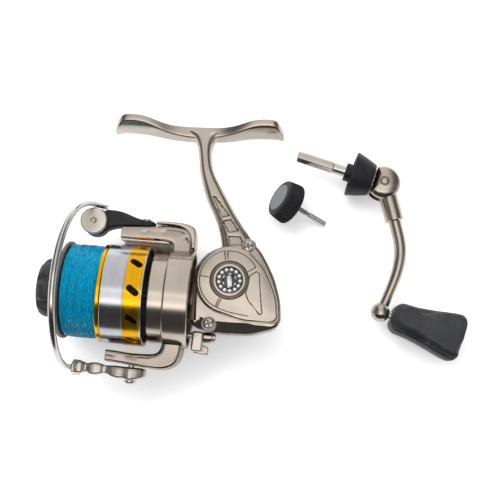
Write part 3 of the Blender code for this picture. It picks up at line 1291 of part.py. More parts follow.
def spool_skirt():
    """The gold skirt behind the line bay, with its rim and the ring of slanted slots."""
    inner_step = -BAND_BACK + RIM_WIDTH
    skirt = turned([
        (ARBOR_RADIUS + CLEARANCE, -BAY_BACK), (RIM_RADIUS, -BAY_BACK),
        (RIM_RADIUS, -BAY_BACK + RIM_WIDTH), (BAND_SEAT_RADIUS, -BAY_BACK + RIM_WIDTH),
        (BAND_SEAT_RADIUS, -BAND_BACK), (SKIRT_RADIUS, -BAND_BACK),
                    (SKIRT_RADIUS, -SKIRT_BACK - FINE_BEVEL),
        (SKIRT_RADIUS - FINE_BEVEL, -SKIRT_BACK), (SKIRT_INNER_RADIUS, -SKIRT_BACK),
        (SKIRT_INNER_RADIUS, inner_step), (SKIRT_FRONT_INNER_RADIUS, inner_step),
        (SKIRT_FRONT_INNER_RADIUS, -BAY_BACK + RIM_WIDTH),
                    (ARBOR_RADIUS + CLEARANCE, -BAY_BACK + RIM_WIDTH),
    ], SPOOL, (0, 0, 0), TURN_X, BIG_STEPS)
    slots = []
    middle = -(BAND_BACK + SKIRT_BACK) / 2
    for index in range(SKIRT_SLOTS):
        turn = index * math.tau / SKIRT_SLOTS + SLOT_PHASE
        slots.append(plate([slot_outline(SLOT_LENGTH, SLOT_WIDTH, SLOT_SLANT)],
                           SKIRT_FRONT_INNER_RADIUS - OVERRUN, SKIRT_RADIUS + OVERRUN, SPOOL,
                           (middle, 0, 0), (turn, 0, 0)))
    return name_piece(cut(skirt, grouped(slots)), "spool_skirt", "gold_anodised")


def spool_band():
    """The bare silver band round the skirt."""
    front = -BAY_BACK + RIM_WIDTH + CLEARANCE / 2
    back = -BAND_BACK - CLEARANCE / 2
    inner = BAND_SEAT_RADIUS + CLEARANCE
    band = turned([(inner, front), (BAND_RADIUS, front), (BAND_RADIUS, back), (inner, back)],
                  SPOOL, (0, 0, 0), TURN_X, BIG_STEPS)
    return name_piece(band, "spool_band", "silver_brushed")


def line_core():
    """The inner layers of line on the arbor, as one drum."""
    front = -SPOOL_FRONT + LIP_THICKNESS + CLEARANCE
    back = -BAY_BACK - CLEARANCE
    inner = ARBOR_RADIUS + CLEARANCE
    core = turned([(inner, front), (LINE_CORE_RADIUS, front), (LINE_CORE_RADIUS, back), (inner, back)],
                  SPOOL, (0, 0, 0), TURN_X, BIG_STEPS)
    return name_piece(core, "line_core", "blue_line")


def line_winding():
    """The outer layer of line, one unbroken tube wound over the drum."""
    front = -SPOOL_FRONT + LIP_THICKNESS + CLEARANCE + LINE_RADIUS
    back = -BAY_BACK - CLEARANCE - LINE_RADIUS
    radius = LINE_CORE_RADIUS + CLEARANCE + LINE_RADIUS
    count = LINE_LOOPS * LINE_LOOP_POINTS
    points = []
    for step in range(count + 1):
        turn = math.tau * step / LINE_LOOP_POINTS
        points.append((front + (back - front) * step / count, radius * math.cos(turn),
                       radius * math.sin(turn)))
    gap = min((Vector(points[i]) - Vector(points[i + LINE_LOOP_POINTS])).length
              for i in range(count - LINE_LOOP_POINTS)) - 2 * LINE_RADIUS
    print("least gap of the line winding to itself, mm:", round(gap * 1000, 3))
    return name_piece(tube(points, LINE_RADIUS, SPOOL, 1), "line_winding", "blue_line")


def drag_washers():
    """The stack of drag washers in front of the spool."""
    for index in range(WASHERS):
        back = -POCKET_BACK - CLEARANCE - index * (WASHER_THICKNESS + CLEARANCE)
        front = back - WASHER_THICKNESS
        washer = turned([(PINION_BORE_RADIUS, front), (WASHER_RADIUS, front), (WASHER_RADIUS, back),
                         (PINION_BORE_RADIUS, back)], SPOOL, (0, 0, 0), TURN_X, SMALL_STEPS)
        name_piece(washer, "drag_washer_" + str(index + 1), "felt")


def drag_knob():
    """The drag knob with finger scallops round its rim and a pocket for the nut."""
    stem_end = -POCKET_BACK - (WASHERS + 1) * (WASHER_THICKNESS + CLEARANCE)
    bore = PINION_BORE_RADIUS
    knob = turned([
        (bore, stem_end), (bore, -SHAFT_FRONT - CLEARANCE), (0, -SHAFT_FRONT - CLEARANCE), (0, -KNOB_FRONT),
        (KNOB_RADIUS * KNOB_DISH_SHARE, -KNOB_FRONT), (KNOB_RADIUS - KNOB_EDGE, -KNOB_FRONT + FINE_BEVEL),
        (KNOB_RADIUS, -KNOB_FRONT + KNOB_EDGE), (KNOB_RADIUS, -KNOB_BACK - SOFT_BEVEL),
        (KNOB_RADIUS - SOFT_BEVEL, -KNOB_BACK), (KNOB_STEM_RADIUS, -KNOB_BACK),
        (KNOB_STEM_RADIUS, stem_end),
    ], KNOB, (0, 0, 0), TURN_X, BIG_STEPS)
    pocket = plate([hexagon(KNOB_NUT_ACROSS_FLATS + 2 * CLEARANCE)], 0,
                   KNOB_NUT_DEPTH + OVERRUN - KNOB_NUT_START,
                   KNOB, (KNOB_NUT_START + stem_end - KNOB_NUT_DEPTH, 0, 0), TURN_X)
    grips = []
    for index in range(KNOB_GRIPS):
        turn = index * math.tau / KNOB_GRIPS
        reach = KNOB_RADIUS + KNOB_GRIP_RADIUS * KNOB_GRIP_SHARE
        grips.append(cylinder(KNOB_GRIP_RADIUS, KNOB_GRIP_LENGTH, KNOB,
                              (-KNOB_FRONT - OVERRUN, reach * math.cos(turn), reach * math.sin(turn)),
                              TURN_X, SMALL_STEPS))
    return name_piece(cut(knob, pocket, grouped(grips)), "drag_knob", "black_plastic")


def drag_nut():
    """The nut that the drag knob turns along the shaft's thread."""
    stem_end = -POCKET_BACK - (WASHERS + 1) * (WASHER_THICKNESS + CLEARANCE)
    front = stem_end - KNOB_NUT_DEPTH + KNOB_NUT_START + CLEARANCE
    nut = plate([hexagon(KNOB_NUT_ACROSS_FLATS), circle(PINION_BORE_RADIUS, SMALL_STEPS)], 0,
                KNOB_NUT_DEPTH - 2 * CLEARANCE, KNOB, (front, 0, 0), TURN_X)
    return name_piece(nut, "drag_nut", "brass")


def main_shaft():
    """The shaft that carries the spool to and fro."""
    shaft_end = slider_x() + SLIDER_HALF_WIDTH + SHAFT_REAR_STUB
    length = SHAFT_FRONT + shaft_end
    shaft = bevelled(cylinder(SHAFT_RADIUS, length, SHAFT, (-SHAFT_FRONT, 0, 0), TURN_X, SMALL_STEPS),
                     FINE_BEVEL)
    return name_piece(shaft, "main_shaft", "bright_steel")


def slider_x():
    """Where the slider stands with the spool fully forward."""
    return oscillating_centre()[0] - ECCENTRIC


def slider_block():
    """The slider on the rear of the shaft, with the cross slot for the eccentric pin."""
    block = box((-SLIDER_HALF_WIDTH, -SLIDER_HALF_LENGTH, -SLIDER_BOTTOM),
                (SLIDER_HALF_WIDTH, SLIDER_HALF_LENGTH, SLIDER_TOP), SHAFT, (slider_x(), 0, 0))
    block = bevelled(block, FINE_BEVEL)
    bore = cylinder(SHAFT_RADIUS + CLEARANCE / 2, 2 * (SLIDER_HALF_WIDTH + OVERRUN), SHAFT,
                    (slider_x() - SLIDER_HALF_WIDTH - OVERRUN, 0, 0), TURN_X, SMALL_STEPS)
    slot_half = ECCENTRIC_PIN_RADIUS + CLEARANCE / 2
    slot = box((-slot_half, -ECCENTRIC - 2 * slot_half, SLIDER_TOP - SLIDER_SLOT_DEPTH / 2),
               (slot_half, ECCENTRIC + 2 * slot_half, SLIDER_TOP + OVERRUN), SHAFT, (slider_x(), 0, 0))
    return name_piece(cut(block, bore, slot), "slider_block", "zinc_alloy")


def anti_reverse_lever():
    """The lever under the body, in one piece with the shaft that turns the pawl."""
    half = LEVER_BLOCK_RADIUS
    block = bevelled(box((-LEVER_BLOCK_FRONT, -half, -half), (-LEVER_BLOCK_BACK, half, half), PAWL),
                     FINE_BEVEL)
    tab_low = -LEVER_TAB_LENGTH
    outline = [(-LEVER_BLOCK_FRONT + SOFT_BEVEL, 0), (-LEVER_BLOCK_FRONT + SOFT_BEVEL, tab_low),
               (-LUG_BACK - SOFT_BEVEL, tab_low - SOFT_BEVEL),
               (-LUG_BACK - SOFT_BEVEL, tab_low + LEVER_TAB_THICKNESS),
               (-LEVER_BLOCK_BACK - SOFT_BEVEL, tab_low + 2 * LEVER_TAB_THICKNESS),
               (-LEVER_BLOCK_BACK - SOFT_BEVEL, 0)]
    tab = bevelled(plate([outline], -half / 2, half / 2, PAWL), FINE_BEVEL)
    shaft_start = -RATCHET_FRONT - CLEARANCE
    shaft = cylinder(PAWL_SHAFT_RADIUS, -shaft_start - LUG_BACK + CLEARANCE + 2 * CIRCLIP_WIDTH, PAWL,
                     (shaft_start, 0, 0), TURN_X, SMALL_STEPS)
    return name_piece(fused(block, tab, shaft), "anti_reverse_lever", "bright_steel")


def anti_reverse_pawl():
    """The pawl on the lever's shaft that drops into the ratchet."""
    reach_x = -PAWL_ARM * math.sin(PAWL_REST_ANGLE)
    reach_y = PAWL_ARM * math.cos(PAWL_REST_ANGLE)
    side = Vector((-reach_y, reach_x)).normalized()
    root = side * PAWL_BOSS_RADIUS * PAWL_ROOT_SHARE
    tip = side * PAWL_TIP_HALF_WIDTH
    outline = [(root.x, root.y), (reach_x + tip.x, reach_y + tip.y), (reach_x - tip.x, reach_y - tip.y),
               (-root.x, -root.y)]
    arm = plate([outline], 0, RATCHET_WIDTH, PAWL, (-RATCHET_FRONT, 0, 0), TURN_X)
    boss = cylinder(PAWL_BOSS_RADIUS, RATCHET_WIDTH, PAWL, (-RATCHET_FRONT, 0, 0), TURN_X, SMALL_STEPS)
    bore = cylinder(PAWL_SHAFT_RADIUS + CLEARANCE / 2, RATCHET_WIDTH + 2 * OVERRUN, PAWL,
                    (-RATCHET_FRONT - OVERRUN, 0, 0), TURN_X, SMALL_STEPS)
    return name_piece(cut(fused(arm, boss), bore), "anti_reverse_pawl", "zinc_alloy")


def lever_clip():
    """The clip that keeps the lever's shaft in its lug."""
    inner = PAWL_SHAFT_RADIUS + CLEARANCE / 2
    front = -LUG_BACK + CLEARANCE
    clip = turned([(inner, front), (CIRCLIP_RADIUS, front), (CIRCLIP_RADIUS, front + CIRCLIP_WIDTH),
                   (inner, front + CIRCLIP_WIDTH)], PAWL, (0, 0, 0), TURN_X, SMALL_STEPS)
    return name_piece(clip, "lever_clip", "bright_steel")


def handle_shaft():
    """The handle's shaft: a hexagon that drives the tube, a round length and the tongue of the knuckle."""
    hexagon_end = -HANDLE_REACH + HEX_LENGTH
    hexagon_bar = bevelled(plate([hexagon(HEX_ACROSS_FLATS)], 0, HEX_LENGTH, HANDLE, (-HANDLE_REACH, 0, 0),
                                 TURN_X),
                           FINE_BEVEL)
    round_end = -TONGUE_RADIUS
    round_bar = cylinder(ROUND_SHAFT_RADIUS, round_end - hexagon_end + 2 * FINE_BEVEL, HANDLE,
                         (hexagon_end - 2 * FINE_BEVEL, 0, 0), TURN_X, STEPS)
    eye = arc((0, 0), TONGUE_RADIUS, -math.pi / 2, math.pi / 2, 12)
    tail = -COLLAR_START - COLLAR_SOCKET_DEPTH + 2 * CLEARANCE
    tongue = plate([eye + [(tail, TONGUE_RADIUS), (tail, -TONGUE_RADIUS)]], -TONGUE_HALF_DEPTH,
                   TONGUE_HALF_DEPTH, HANDLE)
    bore = cylinder(KNUCKLE_PIN_RADIUS + CLEARANCE / 2, 2 * KNUCKLE_RADIUS, HANDLE, (0, 0, -KNUCKLE_RADIUS),
                    sides=SMALL_STEPS)
    return name_piece(cut(fused(hexagon_bar, round_bar, tongue), bore), "handle_shaft", "bright_steel")


def handle_collar():
    """The black collar: a bell with a sleeve in it, which slides on the shaft and backs the knuckle."""
    narrow = -COLLAR_START
    rim = narrow - COLLAR_LENGTH
    sleeve_end = rim - SLEEVE_LENGTH
    bore = ROUND_SHAFT_RADIUS + CLEARANCE
    socket = math.hypot(TONGUE_RADIUS, TONGUE_HALF_DEPTH) + CLEARANCE
    socket_floor = narrow - COLLAR_SOCKET_DEPTH
    bulge = (rim + narrow) / 2
    bulge_radius = (COLLAR_RIM_RADIUS + COLLAR_NECK_RADIUS) / 2 + COLLAR_BULGE
    collar = turned([
        (bore, sleeve_end), (SLEEVE_RADIUS, sleeve_end), (SLEEVE_RADIUS, rim + COLLAR_RECESS),
        (COLLAR_RIM_RADIUS - COLLAR_WALL, rim + COLLAR_RECESS / 2), (COLLAR_RIM_RADIUS - COLLAR_WALL, rim),
        (COLLAR_RIM_RADIUS, rim), (COLLAR_RIM_RADIUS, rim + FINE_BEVEL), (bulge_radius, bulge),
        (COLLAR_NECK_RADIUS, narrow), (socket, narrow), (socket, socket_floor), (bore, socket_floor),
    ], COLLAR, (0, 0, 0), TURN_X, BIG_STEPS)
    return name_piece(collar, "handle_collar", "black_plastic")


def rod_route():
    """The bent rod from the knuckle's socket to the ball, in the reel frame."""
    reach_x = ARM_BALL_X - KNUCKLE_X
    reach_y = ARM_BALL_Y - KNUCKLE_Y
    corners = [Vector((KNUCKLE_X + across * ROD_BOW, KNUCKLE_Y + along * reach_y)) for along,
               across in ROD_SHARES]
    corners.append(Vector((KNUCKLE_X + reach_x, ARM_BALL_Y)))
    points = []
    padded = [2 * corners[0] - corners[1]] + corners + [2 * corners[-1] - corners[-2]]
    for before, start, end, after in zip(padded, padded[1:], padded[2:], padded[3:]):
        for step in range(ROD_SMOOTHING):
            t = step / ROD_SMOOTHING
            points.append((2 * start + (end - before) * t + (2 * before - 5 * start + 4 * end - after) * t ** 2
                           + (3 * start - before - 3 * end + after) * t ** 3) / 2)
    points.append(corners[-1])
    return points


def in_frame(point, origin, angle):
    """A point of the reel frame seen from a frame turned about Z at an origin."""
    moved = Vector(point) - Vector(origin)
    return Vector((moved.x * math.cos(angle) + moved.y * math.sin(angle),
                   moved.y * math.cos(angle) - moved.x * math.sin(angle)))


def crank_arm():
    """The handle's arm: domed knuckle with its slot, socket, bent rod and ball end in one casting."""
    origin = (KNUCKLE_X, KNUCKLE_Y)
    route = [(*in_frame(point, origin, HANDLE_ANGLE), 0) for point in rod_route()]
    rod = tube(route, ARM_ROD_RADIUS, ARM)
    socket_count = ROD_SMOOTHING * 2 + 1
    socket = tube(route[:socket_count], ARM_SOCKET_RADIUS, ARM)
    dome = ball(KNUCKLE_RADIUS, ARM, (0, 0, 0), STEPS, SMALL_STEPS)
    keep = box((-KNUCKLE_FLAT, -2 * KNUCKLE_RADIUS, -KNUCKLE_HALF_DEPTH),
               (2 * KNUCKLE_RADIUS, 2 * KNUCKLE_RADIUS, KNUCKLE_HALF_DEPTH), ARM)
    dome = combined(dome, keep, "INTERSECT")
    end = ball(ARM_BALL_RADIUS, ARM, route[-1], STEPS, SMALL_STEPS)
    piece = fused(dome, socket, rod, end)
    slot_half = TONGUE_HALF_DEPTH + CLEARANCE
    slot_radius = TONGUE_RADIUS + CLEARANCE
    fold = math.radians(FOLD_RANGE_DEG)
    mouth = 2 * KNUCKLE_RADIUS
    low_side = Vector((math.cos(math.pi + fold), math.sin(math.pi + fold)))
    low_edge = Vector((-low_side.y, low_side.x)) * slot_radius
    far = low_side * mouth + low_edge
    round_end = arc((0, 0), slot_radius, fold - math.pi / 2, math.pi / 2, STEPS // 2)
    slot = plate([[(-mouth, slot_radius), (-mouth, -mouth), tuple(far)] + round_end], -slot_half, slot_half,
                 ARM)
    pin_bore = cylinder(KNUCKLE_PIN_RADIUS + CLEARANCE / 2, 2 * KNUCKLE_RADIUS, ARM,
                        (0, 0, -KNUCKLE_RADIUS), sides=SMALL_STEPS)
    piece = cut(piece, slot, pin_bore)
    spindle_bore = cylinder(SPINDLE_RADIUS + CLEARANCE / 2, 2 * ARM_BALL_RADIUS, GRIP, (0, 0, 0), TURN_X,
                            SMALL_STEPS)
    return name_piece(cut(piece, spindle_bore), "crank_arm", "black_nickel")


def knuckle_pin():
    """The riveted pin of the knuckle."""
    half = KNUCKLE_HALF_DEPTH
    pin = turned([(0, -half), (KNUCKLE_PIN_RADIUS, -half), (KNUCKLE_PIN_RADIUS, half - FINE_BEVEL),
                  (KNUCKLE_PIN_RADIUS / 2, half), (0, half)], ARM, steps=SMALL_STEPS)
    return name_piece(pin, "knuckle_pin", "bright_steel")


def handle_knob():
    """The flat paddle knob with its thumb faces."""
    end = PADDLE_START + PADDLE_LENGTH
    collar_end = PADDLE_START + PADDLE_LENGTH * PADDLE_NECK_SHARE
    middle = PADDLE_START + PADDLE_LENGTH / 2
    half_middle = (PADDLE_BASE_HALF_WIDTH + PADDLE_END_HALF_WIDTH) / 2 - PADDLE_WAIST
    upper = [(PADDLE_START, PADDLE_NECK_HALF_WIDTH), (collar_end, PADDLE_NECK_HALF_WIDTH + SOFT_BEVEL),
             (collar_end + SOFT_BEVEL, PADDLE_BASE_HALF_WIDTH), (middle, half_middle),
             (end - PADDLE_END_HALF_WIDTH / 2, PADDLE_END_HALF_WIDTH)]
    corner = arc((end - PADDLE_CORNER, PADDLE_END_HALF_WIDTH - PADDLE_CORNER), PADDLE_CORNER,
                 math.radians(75), 0, 4)
    upper += corner
    outline = upper + [(x, -y) for x, y in upper[::-1]]
    body = plate([outline], -PADDLE_HALF_THICKNESS, PADDLE_HALF_THICKNESS, GRIP)
    body = bevelled(body, PADDLE_BEVEL, 2)
    bore = cylinder(SPINDLE_RADIUS + CLEARANCE, end, GRIP, (PADDLE_START - OVERRUN, 0, 0), TURN_X,
                    SMALL_STEPS)
    recess = cylinder(SPINDLE_HEAD_RADIUS + CLEARANCE, SPINDLE_RECESS + OVERRUN, GRIP,
                      (end - SPINDLE_RECESS, 0, 0), TURN_X, SMALL_STEPS)
    return name_piece(cut(body, bore, recess), "handle_knob", "black_plastic")


def knob_spindle():
    """The spindle on which the knob turns, riveted into the arm's ball."""
    end = PADDLE_START + PADDLE_LENGTH - SPINDLE_RECESS + CLEARANCE
    spindle = turned([(0, 0), (SPINDLE_RADIUS, 0), (SPINDLE_RADIUS, end), (SPINDLE_HEAD_RADIUS, end),
                      (SPINDLE_HEAD_RADIUS, end + SPINDLE_HEAD_THICKNESS / 2),
                      (SPINDLE_HEAD_RADIUS / 2, end + SPINDLE_HEAD_THICKNESS),
                      (0, end + SPINDLE_HEAD_THICKNESS)],
                     GRIP, (0, 0, 0), TURN_X, SMALL_STEPS)
    return name_piece(spindle, "knob_spindle", "bright_steel")


def cap_screw_knob():
    """The knurled cap of the handle screw, tapered towards its face."""
    taper = turned([(0, 0), (CAP_SCREW_BACK_RADIUS, 0), (CAP_SCREW_BACK_RADIUS, -CAP_BACK_LIP),
                    (CAP_SCREW_FACE_RADIUS, -CAP_SCREW_LENGTH + FINE_BEVEL),
                    (CAP_SCREW_FACE_RADIUS - FINE_BEVEL, -CAP_SCREW_LENGTH), (0, -CAP_SCREW_LENGTH)],
                   CAP_SCREW, steps=CAP_SCREW_RIBS)
    ribs = plate([toothed_outline(CAP_SCREW_RIBS, CAP_SCREW_BACK_RADIUS + OVERRUN,
                                  CAP_SCREW_BACK_RADIUS - CAP_SCREW_RIB_DEPTH, CAP_RIB_FOOT_SHARE,
                                  CAP_RIB_CREST_SHARE)],
                 -CAP_SCREW_LENGTH - OVERRUN, OVERRUN, CAP_SCREW)
    cap = combined(taper, ribs, "INTERSECT")
    recess = cylinder(CAP_DISC_RADIUS + CLEARANCE, CAP_DISC_THICKNESS + OVERRUN, CAP_SCREW,
                      (0, 0, -CAP_SCREW_LENGTH - OVERRUN))
    hollow = turned([(CAP_SHANK_SEAT_RADIUS, -CAP_SCREW_LENGTH / 2),
                     (CAP_SCREW_FACE_RADIUS - COLLAR_WALL, -CAP_SCREW_LENGTH / 2),
                     (CAP_SCREW_FACE_RADIUS - COLLAR_WALL, OVERRUN), (CAP_SHANK_SEAT_RADIUS, OVERRUN)],
                    CAP_SCREW)
    bore = cylinder(CAP_SHANK_RADIUS + CLEARANCE, CAP_SCREW_LENGTH, CAP_SCREW,
                    (0, 0, -CAP_SCREW_LENGTH + 2 * CAP_DISC_THICKNESS), sides=SMALL_STEPS)
    return name_piece(cut(cap, recess, hollow, bore), "cap_screw_knob", "black_plastic")


def cap_screw_disc():
    """The plain disc let into the cap's face."""
    low = -CAP_SCREW_LENGTH + FINE_BEVEL
    disc = cylinder(CAP_DISC_RADIUS, CAP_DISC_THICKNESS - FINE_BEVEL - CLEARANCE, CAP_SCREW, (0, 0, low))
    return name_piece(bevelled(disc, FINE_BEVEL), "cap_screw_disc", "grey_disc")


def cap_screw_shank():
    """The stepped shank of the handle screw."""
    start = -CAP_SCREW_LENGTH + 2 * CAP_DISC_THICKNESS + CLEARANCE
    step = CAP_SHANK_LENGTH * CAP_SHANK_STEP_SHARE
    thin = CAP_SHANK_RADIUS - CAP_SHANK_STEP
    shank = turned([(0, start), (CAP_SHANK_RADIUS, start), (CAP_SHANK_RADIUS, step),
                    (thin, step + FINE_BEVEL),
                    (CAP_SHANK_RADIUS, step + 2 * FINE_BEVEL), (CAP_SHANK_RADIUS, CAP_SHANK_LENGTH),
                    (0, CAP_SHANK_LENGTH)], CAP_SCREW, steps=SMALL_STEPS)
    return name_piece(shank, "cap_screw_shank", "zinc_alloy")


def settle():
    """Stand the assembly on the ground with the origin under the middle of its bounding box."""
    bpy.context.view_layer.update()
    corners = [piece.matrix_world @ Vector(corner) for piece in PARTS.objects if piece.type == "MESH"
               for corner in piece.bound_box]
    low = [min(corner[axis] for corner in corners) for axis in range(3)]
    high = [max(corner[axis] for corner in corners) for axis in range(3)]
    REEL.location = (-(low[0] + high[0]) / 2, -(low[1] + high[1]) / 2, -low[2])
    bpy.context.view_layer.update()
    for joint in PARTS.objects:
        if joint.type == "EMPTY":
            turned_x = joint.matrix_world.to_3x3() @ Vector((1, 0, 0))
            print(joint.name, [round(v, 6) for v in joint.matrix_world.translation], "its x",
                  [round(v, 6) for v in turned_x])
    print("size", [round(b - a, 6) for a, b in zip(low, high)])


clear_scene()
PARTS = make_collection("spinning_reel")
REEL = empty("reel_frame", (0, 0, 0))
CRANK = empty("crank_axis", (0, CRANK_OFFSET, 0), REEL)
OSCILLATOR = empty("oscillating_axis", (*oscillating_centre(), 0), REEL)
ROTOR = empty("rotor_axis", (0, 0, 0), REEL)
BAIL = empty("bail_axis", (-BAIL_PIVOT_X, 0, 0), ROTOR)
ROLLER = empty("roller_axis", (BAIL_PIVOT_X - BAIL_EYE_X, BAIL_EYE_Y, 0), BAIL)
SHAFT = empty("shaft_axis", (0, 0, 0), REEL)
SPOOL = empty("spool_axis", (0, 0, 0), SHAFT)
KNOB = empty("drag_knob_axis", (0, 0, 0), SHAFT)
PAWL = empty("lever_axis", (0, -PAWL_AXIS_DROP, 0), REEL)
HANDLE = empty("knuckle_axis", (KNUCKLE_X, KNUCKLE_Y, HANDLE_HEIGHT - REST_HEIGHT), REEL,
               (0, 0, HANDLE_ANGLE))
COLLAR = empty("collar_axis", (0, 0, 0), HANDLE)
ARM = empty("arm_axis", (0, 0, 0), HANDLE)
GRIP = empty("grip_axis", (*in_frame((ARM_BALL_X, ARM_BALL_Y), (KNUCKLE_X, KNUCKLE_Y), HANDLE_ANGLE), 0),
             ARM,
             (0, 0, KNOB_AXIS_ANGLE - HANDLE_ANGLE))
CAP_SCREW = empty("cap_screw_axis",
                  (CAP_SCREW_X, CAP_SCREW_Y, CAP_SCREW_BACK_RADIUS * math.cos(CAP_SCREW_TILT) - REST_HEIGHT),
                  REEL, (0, math.pi / 2 + CAP_SCREW_TILT, CAP_SCREW_ANGLE))

body_frame()
side_cover()
cover_screws()
crank_bearing()
left_bush()
pinion_bearing()
drive_gear()
oscillating_gear()
pinion_gear()
ratchet_wheel()
rotor_nut()
rotor()
arm_cover()
bail_spring()
bail_pivot_screws()
bail_wire()
bail_arm()
line_roller()
roller_cap()
bail_lever()
spool_core()
spool_skirt()
spool_band()
line_core()
line_winding()
drag_washers()
drag_knob()
drag_nut()
main_shaft()
slider_block()
anti_reverse_lever()
anti_reverse_pawl()
lever_clip()
handle_shaft()
handle_collar()
crank_arm()
knuckle_pin()
handle_knob()
knob_spindle()
cap_screw_knob()
cap_screw_disc()
cap_screw_shank()
settle()
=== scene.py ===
"""The looks of a small spinning reel: case, rotor with bail, line spool, and the handle laid out beside it.

Lengths are in millimetres in the reel's own frame until they enter a mesh: X runs along the spool's axis towards
the tail, Y towards the rod foot, Z up out of the side cover, and the origin is where the crank meets the spool's axis.
"""
import json
import math

import bmesh
import bpy
import numpy as np
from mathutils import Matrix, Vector


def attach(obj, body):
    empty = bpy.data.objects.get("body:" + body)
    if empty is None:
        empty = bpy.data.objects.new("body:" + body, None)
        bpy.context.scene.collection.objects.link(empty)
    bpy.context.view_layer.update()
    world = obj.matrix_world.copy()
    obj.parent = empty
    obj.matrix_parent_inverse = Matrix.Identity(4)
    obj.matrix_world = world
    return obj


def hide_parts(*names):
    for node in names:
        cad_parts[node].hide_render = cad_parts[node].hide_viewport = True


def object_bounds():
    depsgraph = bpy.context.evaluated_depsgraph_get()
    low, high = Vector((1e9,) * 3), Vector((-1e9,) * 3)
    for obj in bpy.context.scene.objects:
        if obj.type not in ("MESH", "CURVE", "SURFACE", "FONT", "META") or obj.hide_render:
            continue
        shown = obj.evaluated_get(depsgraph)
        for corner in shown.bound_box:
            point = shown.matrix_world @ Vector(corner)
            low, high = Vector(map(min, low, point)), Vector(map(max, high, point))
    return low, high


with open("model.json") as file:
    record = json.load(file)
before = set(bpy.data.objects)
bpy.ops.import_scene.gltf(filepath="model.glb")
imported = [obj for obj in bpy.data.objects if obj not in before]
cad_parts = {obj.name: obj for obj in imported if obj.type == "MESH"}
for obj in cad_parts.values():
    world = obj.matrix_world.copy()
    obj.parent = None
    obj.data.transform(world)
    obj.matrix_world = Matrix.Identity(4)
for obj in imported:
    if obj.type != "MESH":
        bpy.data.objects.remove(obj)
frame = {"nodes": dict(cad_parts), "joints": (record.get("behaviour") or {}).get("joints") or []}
CAD_BOX = [list(corner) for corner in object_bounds()]

MM = 0.001
JOINTS = {joint["name"]: joint for joint in frame["joints"]}
REEL_ORIGIN = np.array(JOINTS["rotor_spin"]["pos_m"])
KNUCKLE = (np.array(JOINTS["handle_fold"]["pos_m"]) - REEL_ORIGIN) / MM
KNUCKLE_AXIS = -np.array(JOINTS["handle_collar_slide"]["axis"])
GRIP = (np.array(JOINTS["handle_knob_spin"]["pos_m"]) - REEL_ORIGIN) / MM
GRIP_AXIS = np.array(JOINTS["handle_knob_spin"]["axis"])
CRANK = (np.array(JOINTS["drive_gear_spin"]["pos_m"]) - REEL_ORIGIN) / MM
ROLLER = (np.array(JOINTS["line_roller_spin"]["pos_m"]) - REEL_ORIGIN) / MM
BAIL_X = float((JOINTS["bail_flip"]["pos_m"][0] - REEL_ORIGIN[0]) / MM)

# The camera and the stage
CAMERA_PLACE = (-1.281 * MM, -37.56 * MM, 259.76 * MM)
CAMERA_TILT = math.radians(9)
CAMERA_TURN = math.radians(4.9)
CAMERA_LENS = 55.4
FLOOR_HALF = 600 * MM

X_AXIS = np.array((1.0, 0, 0))
Y_AXIS = np.array((0, 1.0, 0))
Z_AXIS = np.array((0, 0, 1.0))


# Shader maths

class Value:
    """A shader socket in a Python expression: each operator adds the Math node that it names."""

    def __init__(self, finish, socket):
        self.finish = finish
        self.socket = socket

    def math(self, operation, *others, swapped=False):
        values = (*others, self) if swapped else (self, *others)
        return self.finish.node("Math", {"operation": operation}, dict(enumerate(values)))

    def __add__(self, other):
        return self.math("ADD", other)

    def __radd__(self, other):
        return self.math("ADD", other)

    def __sub__(self, other):
        return self.math("SUBTRACT", other)

    def __rsub__(self, other):
        return self.math("SUBTRACT", other, swapped=True)

    def __mul__(self, other):
        return self.math("MULTIPLY", other)

    def __rmul__(self, other):
        return self.math("MULTIPLY", other)

    def above(self, edge, width):
        """0 below edge, 1 above edge + width, straight between."""
        return self.finish.node("MapRange", {}, {"Value": self, "From Min": edge, "From Max": edge + width})


class Finish:
    """A node tree whose nodes are all made by node(), and the shader that they feed."""

    def __init__(self, owner, shader):
        owner.use_nodes = True
        self.owner = owner
        self.tree = owner.node_tree
        self.shader = self.tree.nodes[shader]

    def node(self, kind, settings, inputs, output=0):
        """Add a node, set its settings, then fill or link its sockets; returns one output as a Value."""
        made = self.tree.nodes.new("ShaderNode" + kind)
        for setting, value in settings.items():
            if setting == "stops":
                ramp = made.color_ramp.elements
                while len(ramp) < len(value):
                    ramp.new(1)
                for element, (position, colour) in zip(ramp, value):
                    element.position = position
                    element.color = (*colour, 1)
            else:
                setattr(made, setting, value)
        for socket, value in inputs.items():
            self.fill(made.inputs[socket], value)
        return Value(self, made.outputs[output])

    def fill(self, socket, value):
        """Link a Value to a socket, or set the socket's own number."""
        if isinstance(value, Value):
            self.tree.links.new(value.socket, socket)
        else:
            socket.default_value = value

    def set(self, name, value):
        self.fill(self.shader.inputs[name], value)
        return self

    def place(self, stretch=(1, 1, 1)):
        """Object coordinates, stretched."""
        coordinates = self.node("TexCoord", {}, {}, "Object")
        return self.node("Mapping", {}, {"Vector": coordinates, "Scale": stretch})

    def noise(self, scale, detail=3, stretch=(1, 1, 1), rough=0.5):
        return self.node("TexNoise", {}, {"Vector": self.place(stretch), "Scale": scale, "Detail": detail,
                                          "Roughness": rough})

    def mask(self, name):
        """A number that the mesh carries on its points."""
        return self.node("Attribute", {"attribute_name": name}, {}, "Fac")

    def mix(self, factor, first, second):
        """First colour where factor is 0, second where it is 1."""
        return self.node("Mix", {"data_type": "RGBA"}, {0: factor, 6: first, 7: second}, 2)

    def bump(self, height, strength, distance):
        return self.node("Bump", {}, {"Height": height, "Strength": strength, "Distance": distance})


def rgb(red, green, blue):
    return (red, green, blue, 1)


